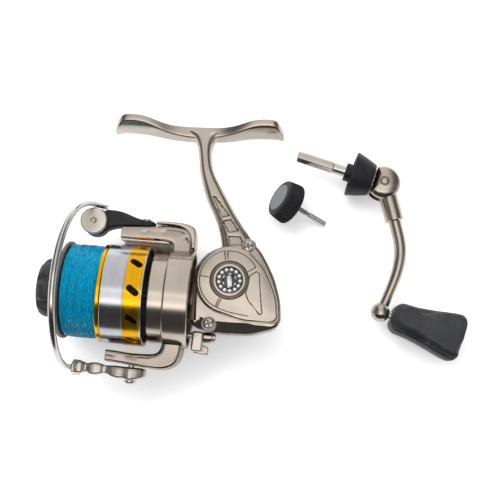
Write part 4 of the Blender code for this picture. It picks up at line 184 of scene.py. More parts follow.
def surface(name, colour, roughness, metallic, **constants):
    """A material's Finish with its plain values set."""
    finish = Finish(bpy.data.materials.new(name), "Principled BSDF")
    finish.owner.diffuse_color = colour
    for socket, value in {"Base Color": colour, "Roughness": roughness, "Metallic": metallic, **constants}.items():
        finish.set(socket.replace("_", " "), value)
    return finish


def plated(name, light, dark, roughness, grain=1.0):
    """Plated casting: cloudy tint, cloudy gloss, a fine skin, and painted shade that darkens its grooves."""
    finish = surface(name, light, roughness, 1.0)
    cloud = finish.noise(90, 4)
    fine = finish.noise(1400, 3)
    groove = finish.mask("groove")
    tint = finish.mix(cloud.above(0.40, 0.25) * 0.5, light, dark)
    # painted shade: where the mask is set, grooves and recesses are darkened to near black
    finish.set("Base Color", finish.mix(groove, tint, rgb(0.035, 0.028, 0.024)))
    finish.set("Roughness", cloud * 0.10 + (roughness - 0.05) + groove * 0.25 + fine * 0.05)
    finish.set("Normal", finish.bump(fine * 0.4 + finish.noise(260, 2), 0.10 * grain, 0.00010))
    return finish


def brushed(name, light, dark, roughness, stretch, strength=0.25):
    """Metal turned or brushed along one direction: the noise is squeezed across it."""
    finish = surface(name, light, roughness, 1.0)
    lines = finish.noise(900, 3, stretch)
    cloud = finish.noise(60, 3)
    groove = finish.mask("groove")
    # painted shade: where the mask is set, grooves and recesses are darkened to near black
    finish.set("Base Color", finish.mix(groove, finish.mix(lines.above(0.35, 0.3), dark, light),
                                        rgb(0.02, 0.015, 0.01)))
    finish.set("Roughness", cloud * 0.12 + lines * 0.10 + (roughness - 0.1) + groove * 0.3)
    finish.set("Normal", finish.bump(lines, strength, 0.00003))
    return finish


def moulded(name, colour, worn, roughness, scale=900, gloss=0.35):
    """Moulded plastic: a fine leathery skin, and paler scuffs where the mask of edges is."""
    finish = surface(name, colour, roughness, 0.0, Specular_IOR_Level=gloss)
    skin = finish.noise(scale, 4, rough=0.6)
    cloud = finish.noise(70, 4)
    scuff = finish.noise(240, 6, rough=0.7).above(0.50, 0.12) * finish.mask("edge")
    finish.set("Base Color", finish.mix(scuff * 0.8, finish.mix(cloud.above(0.35, 0.4) * 0.5, colour, worn), worn))
    finish.set("Roughness", skin * 0.14 + cloud * 0.10 + (roughness - 0.12) + scuff * 0.12)
    finish.set("Normal", finish.bump(skin + cloud * 0.6, 0.30, 0.00008))
    return finish


def line_finish(name, colour, deep):
    """Fishing line: glassy, with lighter and deeper strands and small sparks of gloss."""
    finish = surface(name, colour, 0.24, 0.0, Coat_Roughness=0.12, Specular_IOR_Level=0.08)
    strand = finish.noise(700, 3, (6, 1, 1))
    spark = finish.noise(1700, 2).above(0.615, 0.04)
    finish.set("Base Color", finish.mix(spark * 0.7, finish.mix(strand.above(0.35, 0.3), deep, colour),
                                        rgb(0.32, 0.88, 0.98)))
    finish.set("Metallic", spark * 0.95)
    finish.set("Roughness", strand * 0.20 + 0.14)
    finish.set("Coat Weight", spark * 0.7)
    finish.set("Normal", finish.bump(strand, 0.35, 0.00006))
    return finish


NICKEL = plated("champagne_nickel", rgb(0.61, 0.54, 0.47), rgb(0.48, 0.42, 0.36), 0.18)
# painted shade: a darker copy of the champagne nickel, for the neck inside the rotor, the rotor arms and their inner
# wall, and the screw seats
SHADED_NICKEL = plated("shaded_nickel", rgb(0.50, 0.43, 0.38), rgb(0.38, 0.32, 0.28), 0.16)
CHROME = plated("chrome", rgb(0.72, 0.70, 0.66), rgb(0.62, 0.60, 0.56), 0.13, 1.4)
STEEL = brushed("bright_steel", rgb(0.74, 0.72, 0.68), rgb(0.60, 0.58, 0.55), 0.22, (1, 1, 1), 0.1)
HEX_STEEL = plated("warm_steel", rgb(0.66, 0.60, 0.54), rgb(0.52, 0.46, 0.41), 0.20, 1.2)
PEARL = plated("pale_champagne", rgb(0.84, 0.79, 0.72), rgb(0.76, 0.70, 0.63), 0.36, 1.5)
SILVER = brushed("silver_band", rgb(0.60, 0.61, 0.65), rgb(0.54, 0.55, 0.60), 0.17, (1, 0.15, 0.15), 0.08)
GOLD = brushed("gold_band", rgb(0.95, 0.52, 0.015), rgb(0.88, 0.44, 0.010), 0.18, (1, 0.15, 0.15), 0.10)
ZINC = plated("zinc", rgb(0.74, 0.75, 0.77), rgb(0.60, 0.61, 0.63), 0.24, 2)
BRASS = brushed("brass", rgb(0.72, 0.50, 0.20), rgb(0.62, 0.42, 0.16), 0.30, (1, 1, 1))
SATIN_GREY = plated("satin_grey", rgb(0.36, 0.36, 0.36), rgb(0.28, 0.28, 0.28), 0.42)
LIP_GREY = plated("lip_grey", rgb(0.20, 0.185, 0.17), rgb(0.14, 0.13, 0.12), 0.40)
BLACK = moulded("black_plastic", rgb(0.008, 0.008, 0.010), rgb(0.030, 0.031, 0.034), 0.40)
SOFT_BLACK = moulded("soft_black", rgb(0.014, 0.015, 0.017), rgb(0.070, 0.071, 0.075), 0.46, 600, 0.45)
GREY_DISC = moulded("grey_disc", rgb(0.16, 0.17, 0.18), rgb(0.24, 0.25, 0.26), 0.42, 1800)
# painted highlight: the bearing's steel balls are coloured near white to stand for their highlights
HIGHLIGHT_BALLS = moulded("highlight_white_balls", rgb(0.78, 0.78, 0.76), rgb(0.62, 0.62, 0.60), 0.30)
FELT = moulded("felt", rgb(0.20, 0.17, 0.13), rgb(0.30, 0.26, 0.21), 0.85, 500)
# painted shade: steel coloured near black for the bearing race, cage and crank tube down in the crank's bore
BORE_SHADE_STEEL = plated("dark_steel", rgb(0.13, 0.13, 0.135), rgb(0.08, 0.08, 0.085), 0.30)
LINE = line_finish("blue_line", rgb(0.0, 0.34, 0.56), rgb(0.0, 0.19, 0.36))


# Mesh making

def frame_of(axis, up=Z_AXIS):
    """Three rows: two directions across an axis and the axis itself."""
    axis = np.asarray(axis, float) / np.linalg.norm(axis)
    up = up if abs(np.dot(up, axis)) < 0.9 else X_AXIS
    side = np.cross(up, axis)
    side /= np.linalg.norm(side)
    return np.array((side, np.cross(axis, side), axis))


def piece(name, points, faces, finish, body, stands_for=(), masks=None, sharp=35):
    """A finished mesh from points in millimetres of the reel's frame; it rides on a body."""
    data = bpy.data.meshes.new(name)
    data.from_pydata((np.asarray(points) * MM + REEL_ORIGIN).tolist(), [], [list(face) for face in faces])
    for mask, values in (masks or {}).items():
        data.attributes.new(mask, "FLOAT", "POINT").data.foreach_set("value", np.ravel(values).astype(np.float32))
    data.validate()
    data.shade_smooth()
    data.set_sharp_from_angle(angle=math.radians(sharp))
    data.materials.append(finish.owner)
    face_out(data)
    made = bpy.data.objects.new(name, data)
    bpy.context.scene.collection.objects.link(made)
    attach(made, body)
    if stands_for:
        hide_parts(*stands_for)
    return made


def face_out(data):
    """Turn every face of a closed mesh outwards."""
    shape = bmesh.new()
    shape.from_mesh(data)
    bmesh.ops.recalc_face_normals(shape, faces=shape.faces)
    shape.to_mesh(data)
    shape.free()


def grid_faces(rows, columns, wrap_rows=False, wrap_columns=True, start=0):
    """Quads of a grid of points counted row by row."""
    row = np.arange(rows if wrap_rows else rows - 1)[:, None]
    column = np.arange(columns if wrap_columns else columns - 1)[None, :]
    here = row * columns + column
    right = row * columns + (column + 1) % columns
    below = ((row + 1) % rows) * columns + column
    diagonal = ((row + 1) % rows) * columns + (column + 1) % columns
    return (np.stack((here, right, diagonal, below), -1).reshape(-1, 4) + start).tolist()


def tube_faces(rows, columns, close=False):
    """Quads of a tube whose rows are rings, with its two ends capped unless the rows close on themselves."""
    faces = grid_faces(rows, columns, close)
    if not close:
        faces.append(list(range(columns))[::-1])
        faces.append(list(range((rows - 1) * columns, rows * columns)))
    return faces


def rounded(corners, radius, count=5, closed=True):
    """Each corner of an outline becomes an arc: a quadratic curve between points one radius either side of it."""
    corners = [np.asarray(corner, float) for corner in corners]
    total = len(corners)
    radii = radius if hasattr(radius, "__len__") else [radius] * total
    points = []
    for index, corner in enumerate(corners):
        if not closed and index in (0, total - 1) or radii[index] == 0:
            points.append(corner)
            continue
        before, after = corners[index - 1] - corner, corners[(index + 1) % total] - corner
        lengths = np.linalg.norm(before), np.linalg.norm(after)
        reach = min(radii[index], 0.49 * lengths[0], 0.49 * lengths[1])
        start, end = corner + before / lengths[0] * reach, corner + after / lengths[1] * reach
        for t in np.linspace(0, 1, count):
            points.append((1 - t) ** 2 * start + 2 * t * (1 - t) * corner + t * t * end)
    return np.array(points)


def resampled(points, count, closed=True):
    """Points evenly spaced along a line."""
    points = np.asarray(points, float)
    if closed:
        points = np.vstack((points, points[:1]))
    steps = np.linalg.norm(np.diff(points, axis=0), axis=1)
    along = np.concatenate(([0], np.cumsum(steps)))
    wanted = np.linspace(0, along[-1], count + 1)[:-1] if closed else np.linspace(0, along[-1], count)
    return np.stack([np.interp(wanted, along, points[:, axis]) for axis in range(points.shape[1])], -1)


def smooth_line(corners, count, closed=False, rounds=3):
    """A smooth line near its corners: corners are cut off by quarters, then it is spaced evenly."""
    line = np.asarray(corners, float)
    for _ in range(rounds):
        following = np.roll(line, -1, axis=0) if closed else line[1:]
        here = line if closed else line[:-1]
        cut = np.stack((0.75 * here + 0.25 * following, 0.25 * here + 0.75 * following), 1)
        cut = cut.reshape(-1, line.shape[1])
        line = cut if closed else np.vstack((line[:1], cut, line[-1:]))
    return resampled(line, count, closed)


def outline_normals(outline):
    """Unit normals of a closed outline that runs anticlockwise, pointing out."""
    along = np.roll(outline, -1, axis=0) - np.roll(outline, 1, axis=0)
    along /= np.maximum(np.linalg.norm(along, axis=1, keepdims=True), 1e-9)
    return np.stack((along[:, 1], -along[:, 0]), -1)


def anticlockwise(outline):
    x, y = outline[:, 0], outline[:, 1]
    area = np.sum(x * np.roll(y, -1) - np.roll(x, -1) * y)
    return outline if area > 0 else outline[::-1]


POLE = 0.02


def turned(name, outline, centre, axis, finish, body, stands_for=(), steps=96, radius_at=None, edge=None,
           groove=None, sharp=35):
    """A turned shape: points (radius, height) carried round an axis; radius_at may reshape the radius by angle."""
    outline = np.maximum(np.asarray(outline, float), (POLE, -np.inf))
    side, up, along = frame_of(axis)
    angle = np.linspace(0, math.tau, steps, endpoint=False)[None, :]
    radius = np.repeat(outline[:, :1], steps, 1)
    height = np.repeat(outline[:, 1:], steps, 1)
    if radius_at:
        radius, height = radius_at(radius, height, angle)
    points = (np.asarray(centre) + radius[..., None] * (np.cos(angle)[..., None] * side + np.sin(angle)[..., None] * up)
              + height[..., None] * along)
    masks = {"edge": edge(radius, height, angle) if edge else np.zeros_like(radius),
             "groove": groove(radius, height, angle) if groove else np.zeros_like(radius)}
    closed = outline[0, 0] > POLE
    points = points.reshape(-1, 3)
    faces = grid_faces(len(outline), steps, closed)
    if not closed:
        faces = tube_faces(len(outline), steps)
    return piece(name, points, faces, finish, body, stands_for, masks, sharp)


def slab(name, outline, low, high, edge, finish, body, stands_for=(), plane=(X_AXIS, Y_AXIS), centre=(0, 0, 0),
         rings=5, sharp=35, chamfer=None):
    """A plate with rounded rims: the outline shrinks along a quarter circle towards both faces.

    chamfer(across, along) gives the flat bevel round the upper face where it is wider than the edge.
    """
    outline = anticlockwise(np.asarray(outline, float))
    normals = outline_normals(outline)
    turn = np.linspace(0, math.pi / 2, rings)[:, None]
    bevel = chamfer(outline[:, 0], outline[:, 1])[None] if chamfer else np.zeros((1, len(outline)))
    straight = bevel / (bevel + edge)
    inset = np.vstack((edge * (1 - np.sin(turn)) + 0 * bevel,
                       (edge + bevel) * (straight * turn / turn[-1] + (1 - straight) * (1 - np.cos(turn)))))
    level = np.vstack((low + edge * (1 - np.cos(turn)) + 0 * bevel,
                       high - (edge + 0.6 * bevel) * (straight * (1 - turn / turn[-1]) + (1 - straight) * (1 - np.sin(turn)))))
    across, along = plane
    normal = np.cross(across, along)
    flat = outline[None] - normals[None] * inset[..., None]
    points = np.asarray(centre) + flat[..., :1] * across + flat[..., 1:] * along + level[..., None] * normal
    masks = {"edge": (inset < 0.7 * edge).astype(float)}
    return piece(name, points.reshape(-1, 3), tube_faces(len(level), len(outline)), finish, body, stands_for,
                 masks, sharp)


def swept(name, path, section, finish, body, stands_for=(), scale=None, up=Z_AXIS, closed=False):
    """A section (across, up) carried along a path, grown by scale at each point of it."""
    path = np.asarray(path, float)
    along = np.gradient(path, axis=0)
    along /= np.linalg.norm(along, axis=1, keepdims=True)
    side = np.cross(along, up)
    side /= np.linalg.norm(side, axis=1, keepdims=True)
    rise = np.cross(side, along)
    section = np.asarray(section, float)
    grown = np.ones((len(path), 2)) if scale is None else np.asarray(scale, float).reshape(len(path), -1)
    points = (path[:, None] + section[None, :, :1] * grown[:, None, :1] * side[:, None]
              + section[None, :, 1:] * grown[:, None, -1:] * rise[:, None])
    return piece(name, points.reshape(-1, 3), tube_faces(len(path), len(section), closed), finish, body,
                 stands_for)


def ring_section(radius, count=16, square=2.0):
    """A round section, squared off as the exponent grows."""
    angle = np.linspace(0, math.tau, count, endpoint=False)
    cosine, sine = np.cos(angle), np.sin(angle)
    return radius * np.stack((np.sign(cosine) * np.abs(cosine) ** (2 / square),
                              np.sign(sine) * np.abs(sine) ** (2 / square)), -1)


def domed_ends(count, share=0.12):
    """Scales along a rod that close its two ends like domes."""
    t = np.linspace(0, 1, count)
    return np.sqrt(np.clip(1 - np.clip(1 - np.minimum(t, 1 - t) / share, 0, 1) ** 2, 0.0004, 1))


def distance_to(points, polygon):
    """Signed distance of points to a closed polygon, negative inside."""
    polygon = np.asarray(polygon, float)
    nearest = np.full(points.shape[:-1], np.inf)
    inside = np.zeros(points.shape[:-1], bool)
    for start, end in zip(polygon, np.roll(polygon, -1, axis=0)):
        edge = end - start
        offset = points - start
        share = np.clip((offset @ edge) / (edge @ edge), 0, 1)
        nearest = np.minimum(nearest, np.linalg.norm(offset - share[..., None] * edge, axis=-1))
        crosses = (start[1] > points[..., 1]) != (end[1] > points[..., 1])
        rise = edge[1] if abs(edge[1]) > 1e-9 else 1e-9
        inside ^= crosses & (points[..., 0] < start[0] + (points[..., 1] - start[1]) * edge[0] / rise)
    return np.where(inside, -nearest, nearest)


def step(value, low, high):
    """0 below low, 1 above high, smooth between."""
    t = np.clip((value - low) / (high - low), 0, 1)
    return t * t * (3 - 2 * t)


def arc(centre, radius, start, end, count):
    """Points on an arc, angles in degrees."""
    angle = np.radians(np.linspace(start, end, count))
    return np.stack((centre[0] + radius * np.cos(angle), centre[1] + radius * np.sin(angle)), -1)


def strip(name, first, second, low, high, square, finish, body, stands_for=(), rows=120, columns=64, relief=None,
          plane=(X_AXIS, Y_AXIS), centre=(0, 0, 0), smooth=2, ends=0.03, close_ends=(True, True), sharp=35):
    """A bar between two edge lines: at each step a squared-off round joins them, from low to high across the plane.

    relief(across, along) gives how far the faces sink, in the plane's own coordinates.
    """
    first = smooth_line(first, rows, rounds=smooth)
    second = smooth_line(second, rows, rounds=smooth)
    middle, half = (first + second) / 2, (second - first) / 2
    section = ring_section(1, columns, square)
    t = np.linspace(0, 1, rows)
    shrink = np.ones(rows)
    for end, wanted in zip((t, 1 - t), close_ends):
        if wanted:
            shrink *= np.sqrt(np.clip(1 - (1 - np.clip(end / ends, 0, 1)) ** 2, 0.02, 1))
    level = (low + high) / 2 + section[None, :, 1] * (high - low) / 2 * shrink[:, None]
    flat = middle[:, None] + section[None, :, :1] * half[:, None] * (0.6 + 0.4 * shrink[:, None, None])
    edge = np.abs(section[:, 0] * section[:, 1])
    edge = np.repeat((edge / edge.max())[None] ** 3, rows, 0)
    sunk = np.zeros_like(level)
    if relief:
        sunk = relief(flat[..., 0], flat[..., 1]) * step(np.abs(section[None, :, 1]), 0.75, 0.95)
        level = level - np.sign(section[None, :, 1]) * sunk
    across, along = plane
    points = (np.asarray(centre) + flat[..., :1] * across + flat[..., 1:] * along
              + level[..., None] * np.cross(across, along))
    # painted shade: sunk pockets and lines are darkened in proportion to their depth
    masks = {"edge": edge, "groove": np.clip(sunk, 0, 1) * 0.35}
    faces = tube_faces(rows, columns)
    made = piece(name, points.reshape(-1, 3), faces, finish, body, stands_for, masks, sharp)
    return made


def near_line(x, y, lines, width):
    """1 on any of some open lines, 0 beyond width from them."""
    points = np.stack((x, y), -1)
    nearest = np.full(x.shape, np.inf)
    for line in lines:
        for start, end in zip(line, line[1:]):
            start, end = np.asarray(start, float), np.asarray(end, float)
            edge = end - start
            share = np.clip(((points - start) @ edge) / (edge @ edge), 0, 1)
            nearest = np.minimum(nearest, np.linalg.norm(points - start - share[..., None] * edge, axis=-1))
    return 1 - step(nearest, width * 0.35, width)


# Body: case, stem and rod foot

CASE_OUTLINE = np.vstack((
    arc((-8.9, -6.7), 2.0, 180, 270, 6)[:-1],
    rounded([(-4, -9.7), (0, -9.8), (7.7, -9.5), (15.3, -7.1), (16.8, -5.0), (16.2, 1.2),
             (14.0, 7.8), (11.4, 12.6), (8.8, 16.4), (6.6, 18.6)], 2.2, 6, closed=False),
    arc((0, CRANK[1]), 11.0, 88, 180, 36)[1:],
))
FOOT_CENTRE = (-14.3, 56.3)
FOOT_TILT = math.radians(2.4)
STEM_DEPTH = 3.8
STEM_FRONT = ((-3.2, 11.0), (-3.6, 15.5), (-3.8, 19.0), (-6.0, 25.8), (-10.2, 32.7), (-12.9, 40.8), (-13.6, 46.0),
              (-14.4, 50.0), (-16.6, 53.4), (-19.4, 54.2))
STEM_BACK = ((7.7, 9.0), (8.6, 15.4), (6.0, 20.4), (1.8, 25.4), (-4.2, 34.8), (-8.4, 41.2), (-9.6, 46.0),
             (-9.7, 50.0), (-8.2, 53.6), (-5.4, 54.6))
STEM_POCKETS = (
    ((-8.0, 33.4), (-7.2, 33.4), (-1.9, 27.5), (-4.4, 26.7)),
    ((-4.1, 25.6), (-1.4, 26.4), (1.4, 22.8), (-1.7, 22.0)),
    ((-1.8, 20.9), (2.2, 21.1), (3.0, 18.4), (-1.4, 18.0)),
)


def stem_relief(x, y):
    """The three pockets, 0.7 deep, with soft walls."""
    points = np.stack((x, y), -1)
    depth = np.zeros_like(x)
    for pocket in STEM_POCKETS:
        depth = np.maximum(depth, 0.7 * step(-distance_to(points, pocket), -0.15, 0.3))
    return depth


def foot():
    """Sections along the foot: width and dish grow towards the two pads while the thickness falls; ends are round."""
    stations = np.array((
        (0.0, 0.02, 0.0, 1.0), (0.10, 0.02, 0.0, 0.98), (0.22, 0.10, 0.02, 0.86), (0.34, 0.30, 0.16, 0.62),
        (0.48, 0.66, 0.56, 0.32), (0.62, 0.92, 0.92, 0.12), (0.78, 1.0, 1.0, 0.03), (0.90, 0.90, 1.0, 0.0),
        (0.97, 0.66, 0.96, 0.0), (1.0, 0.30, 0.9, 0.0),
    ))
    half = smooth_line(stations, 70, rounds=3)
    both = np.vstack((half[::-1][:-1] * (-1, 1, 1, 1), half))
    along = both[:, 0] * 27.6
    width = 3.0 + both[:, 1] * 3.6
    width *= np.sqrt(np.clip(1 - np.clip((np.abs(both[:, 0]) - 0.87) / 0.132, 0, 1) ** 2, 0.03, 1))
    thickness = (1.7 + both[:, 3] * 2.4)[:, None]
    section = ring_section(1, 48, 6)
    z = section[None, :, 0] * width[:, None]
    thickness = thickness + 1.2 * both[:, 2:3] * (z / width[:, None]) ** 2
    y = both[:, 2:3] * 2.8 * (z / 6.6) ** 2 - thickness * (1 - section[None, :, 1]) / 2
    y -= 0.3 * both[:, 2:3] * (1 - section[None, :, 1]) / 2 * (1 - (z / width[:, None]) ** 2)
    x = np.repeat(along[:, None], 48, 1)
    cosine, sine = math.cos(FOOT_TILT), math.sin(FOOT_TILT)
    points = np.stack((FOOT_CENTRE[0] + x * cosine - y * sine, FOOT_CENTRE[1] + x * sine + y * cosine, z), -1)
    edge = np.repeat((np.abs(section[:, 0]) > 0.9)[None].astype(float), len(both), 0)
    made = piece("rod_foot", points.reshape(-1, 3), tube_faces(len(both), 48), NICKEL, "housing", (),
                 {"edge": edge})


def build_body():
    slab("case_shell", CASE_OUTLINE, -9.2, 4.0, 1.3, NICKEL, "housing", ("body_frame",), rings=7,
         chamfer=lambda x, y: 3.0 * step(-y, 5.0, 8.5))
    strip("stem", STEM_FRONT, STEM_BACK, -STEM_DEPTH, STEM_DEPTH, 3, NICKEL, "housing", rows=260, columns=128,
          relief=stem_relief, close_ends=(False, False), smooth=3)
    foot()
    turned("left_boss", rounded([(2.2, -15.95), (6.2, -15.95), (6.2, -8.5), (2.2, -8.5)], [0.1, 0.3, 0, 0]),
           (0, CRANK[1], 0), Z_AXIS, NICKEL, "housing")
    turned("neck", rounded([(5.8, 13.0), (5.8, 9.5), (2.6, 9.5), (2.6, 13.0)][::-1], 0.15), (0, 0, 0), -X_AXIS,
           SHADED_NICKEL, "housing")
    turned("lever_lug", rounded([(0, 4.0), (1.9, 4.0), (1.9, 6.8), (0, 6.8)], 0.3, closed=False), (0, -11.2, 0), -X_AXIS,
           NICKEL, "housing")
    slab("lever_lug_web", [(-6.8, -11.2), (-4.2, -11.2), (-4.2, -8.4), (-6.8, -8.4)], -1.3, 1.3, 0.3, NICKEL,
         "housing")


# Side cover

DOME_OUTLINE = np.vstack((
    arc((0, CRANK[1]), 10.6, 72, 255, 60),
    rounded([(0.5, -4.9), (5.0, -6.1), (14.2, -5.9), (16.0, -4.6), (15.0, 2.4), (11.2, 10.2), (5.6, 15.6)],
            2.4, 6, closed=False),
))
COVER_PANEL = ((6.2, 8.0), (8.0, 9.4), (9.0, 8.9), (9.3, 6.2), (9.8, 2.6), (10.7, -2.9), (10.2, -3.6), (6.4, 0.3),
               (5.4, 2.4))
COVER_LINES = (
    arc((0, CRANK[1]), 9.0, 31, 98, 16), arc((0, CRANK[1]), 9.2, 104, 247, 26), (*COVER_PANEL, COVER_PANEL[0]),
    ((-1.25, 15.1), (-0.95, 12.6)), ((-2.2, 15.1), (-1.75, 12.4)), ((7.7, 10.8), (5.6, 9.3)), ((-9.2, 6.9), (-6.5, 6.6)),
    ((-3.6, -2.3), (-2.6, 0.4)), ((-3.1, -2.5), (-2.0, 0.2)), ((-3.1, -2.5), (0.8, -3.6), (6.4, -4.3)),
)


SEAT = 4.1
GEAR_TOP = 9.6


def cover_dome():
    """Rays from the crank to the rim: flat near the crank, sinking slightly to the rim, then a quarter round.

    A turned channel runs round the crank's seat, and fine engraved lines sink by near_line; both are darkened with
    painted shade.
    """
    columns = 480
    centre = np.array((0, CRANK[1]))
    angle = np.linspace(0, math.tau, columns, endpoint=False)
    outline = DOME_OUTLINE - centre
    closed = np.vstack((outline, outline[:1]))
    dense = resampled(closed[:-1], 4000)
    bearing = np.arctan2(dense[:, 1], dense[:, 0]) % math.tau
    order = np.argsort(bearing)
    reach = np.interp(angle, bearing[order], np.linalg.norm(dense, axis=1)[order], period=math.tau)
    rim = 1.1
    shares = np.linspace(0, 1, 100)
    radius = SEAT + shares[:, None] * (reach[None] - rim - SEAT)
    x, y = centre[0] + radius * np.cos(angle), centre[1] + radius * np.sin(angle)
    height = 10.4 - 0.35 * shares[:, None] ** 2.5 - 0.45 * step(x, 8, 16)
    ring = step(radius, 4.95, 5.35) * (1 - step(radius, 5.45, 6.15))
    lip = 1 - step(np.abs(radius - 4.55), 0.25, 0.45)
    lines = near_line(x, y, COVER_LINES, 0.17)
    panel = step(-distance_to(np.stack((x, y), -1), COVER_PANEL), -0.05, 0.25)
    height = height - 0.75 * ring + 0.12 * lip - 0.18 * lines - 0.15 * panel
    turn = np.linspace(0, math.pi / 2, 8)[1:]
    wall_radius = (reach[None] - rim + rim * np.sin(turn)[:, None])
    wall_height = height[-1:] - rim * (1 - np.cos(turn)[:, None])
    foot_height = np.full((1, columns), 7.6)
    radius = np.vstack((np.full((1, columns), SEAT), radius, wall_radius, reach[None]))
    height = np.vstack((np.full((1, columns), 7.6), height, wall_height, foot_height))
    zero = np.zeros((1, columns))
    # painted shade: the channel round the seat and the engraved lines are darkened
    groove = np.vstack((zero, np.maximum(ring * 0.45, lines * 0.55), np.zeros_like(wall_radius), zero))
    points = np.stack((centre[0] + radius * np.cos(angle), centre[1] + radius * np.sin(angle), height), -1)
    made = piece("cover_dome", points.reshape(-1, 3), grid_faces(len(radius), columns, True), NICKEL, "housing",
                 (), {"groove": groove, "edge": np.zeros_like(groove)})


def cross_head(name, centre, finish, body, stands_for, head=1.6, twist=20, plane=(X_AXIS, Y_AXIS)):
    """A pan head as rays from its middle: a low dome with two crossed troughs, over a short shank."""
    columns = 96
    angle = np.linspace(0, math.tau, columns, endpoint=False)[None]
    rays = np.concatenate((np.linspace(0.02, 0.86, 26), np.linspace(0.88, 1, 6)))[:, None] * head
    top = 0.95 * np.sqrt(np.clip(1 - (rays / head) ** 4, 0, 1)) + 0 * angle
    x = rays * np.cos(angle - math.radians(twist))
    y = rays * np.sin(angle - math.radians(twist))
    trough = 0 * x
    for a, b in ((x, y), (y, x)):
        trough = np.maximum(trough, (1 - step(np.abs(a), 0.16, 0.30)) * (1 - step(np.abs(b), 0.85, 1.05)))
    top = top - 0.5 * trough
    radius = np.vstack((rays + 0 * angle, np.full((2, columns), head), np.full((1, columns), 0.1)))
    height = np.vstack((top, np.full((1, columns), 0.0), np.full((2, columns), -0.3)))
    # painted shade: the crossed troughs are darkened through this mask
    mask = np.vstack((trough, np.zeros((3, columns))))
    across, along = plane
    points = (np.asarray(centre) + (radius * np.cos(angle))[..., None] * across
              + (radius * np.sin(angle))[..., None] * along + height[..., None] * np.cross(across, along))
    made = piece(name, points.reshape(-1, 3), tube_faces(len(radius), columns), finish, body, stands_for,
                 {"groove": mask * 0.6, "edge": np.zeros_like(mask)})


def build_cover():
    slab("cover_rim", CASE_OUTLINE, 4.3, 7.8, 0.3, NICKEL, "housing", ("side_cover",), rings=12, sharp=25,
         chamfer=lambda x, y: 0.6 + 2.4 * step(-y, 5.5, 8.5) * (1 - step(x, 6.0, 14.5)))
    cover_dome()
    for name, x, y in (("stem", 4.9, 17.4), ("belly", -5.2, -7.4)):
        turned("cover_ear_" + name, rounded([(0, 4.3), (2.5, 4.3), (2.5, 7.7), (0, 7.7)], 0.4, closed=False), (x, y, 0),
               Z_AXIS, NICKEL, "housing")
    for name, x, y, height in (("stem", 4.9, 17.4, 7.6), ("belly", -5.2, -7.4, 7.8)):
        turned("screw_seat_" + name, rounded([(1.85, height - 0.3), (2.2, height - 0.3), (2.2, height + 0.25),
                                              (1.85, height + 0.25)], 0.15), (x, y, 0), Z_AXIS, SHADED_NICKEL, "housing",
               steps=64)
        cross_head("screw_head_" + name, (x, y, height), STEEL, "housing", ("cover_screw_" + name,), head=1.8)
    turned("bearing_race", rounded([(3.85, 8.2), (4.15, 8.2), (4.15, 10.0), (3.85, 10.0)], 0.12), (0, CRANK[1], 0),
           Z_AXIS, BORE_SHADE_STEEL, "housing", ("crank_bearing_race",))
    turned("bead_cage", rounded([(2.7, 8.4), (3.82, 8.4), (3.82, GEAR_TOP + 0.1), (2.7, GEAR_TOP + 0.1)], 0.1), (0, CRANK[1], 0), Z_AXIS,
           BORE_SHADE_STEEL, "drive_gear", ("crank_bearing_balls",))
    beads()
    crank_tube()


def beads():
    """Thirteen balls round the crank tube, each a small globe of rays, coloured near white as painted highlights."""
    rows, columns = 10, 16
    polar = np.linspace(0.02, math.pi - 0.02, rows)[:, None]
    angle = np.linspace(0, math.tau, columns, endpoint=False)[None]
    globe = 0.55 * np.stack((np.sin(polar) * np.cos(angle), np.sin(polar) * np.sin(angle),
                             np.cos(polar) + 0 * angle), -1).reshape(-1, 3)
    points, faces = [], []
    for index in range(13):
        turn = math.tau * index / 13
        points.append(globe + (3.3 * math.cos(turn), CRANK[1] + 3.3 * math.sin(turn), GEAR_TOP + 0.1))
        faces += [[corner + index * len(globe) for corner in face] for face in tube_faces(rows, columns)]
    piece("bearing_beads", np.vstack(points), faces, HIGHLIGHT_BALLS, "drive_gear")


def crank_tube():
    """The end of the crank tube: a thin round rim round a hexagonal hole with a grey bar across its depth; painted
    shade darkens the hole, most at the bottom, over a dark disc that stands for shade.
    """
    columns = 96
    angle = np.linspace(0, math.tau, columns, endpoint=False)
    hexagon = 1.9 / np.cos((angle + math.pi / 6) % (math.pi / 3) - math.pi / 6)
    rows = [(hexagon, 7.0), (hexagon, GEAR_TOP - 0.4), (hexagon + 0.15, GEAR_TOP + 0.3),
            (np.full(columns, 2.6), GEAR_TOP + 0.35), (np.full(columns, 2.75), GEAR_TOP + 0.2), (np.full(columns, 2.75), 7.0)]
    points = np.array([np.stack((radius * np.cos(angle), CRANK[1] + radius * np.sin(angle),
                                 np.full(columns, height)), -1) for radius, height in rows])
    # painted shade: darkest deep in the hole, fading towards the rim
    groove = np.repeat(np.array((1, 0.8, 0.3, 0, 0, 0))[:, None], columns, 1)
    piece("crank_tube_end", points.reshape(-1, 3), grid_faces(len(rows), columns, True), BORE_SHADE_STEEL,
                   "drive_gear", (), {"groove": groove, "edge": groove * 0})
    # painted shade: a dark disc at the bottom of the hole stands for the shade there
    slab("crank_tube_shadow_disc", arc((0, CRANK[1]), 1.95, 0, 345, 24), 7.9, 8.1, 0.05, BORE_SHADE_STEEL, "drive_gear")
    slab("crank_tube_bar", [(-0.5, CRANK[1] - 1.9), (1.1, CRANK[1] - 1.7), (0.4, CRANK[1] + 1.9),
                            (-1.2, CRANK[1] + 1.7)], 8.0, 8.8, 0.2, ZINC, "drive_gear")


# Rotor and its arms

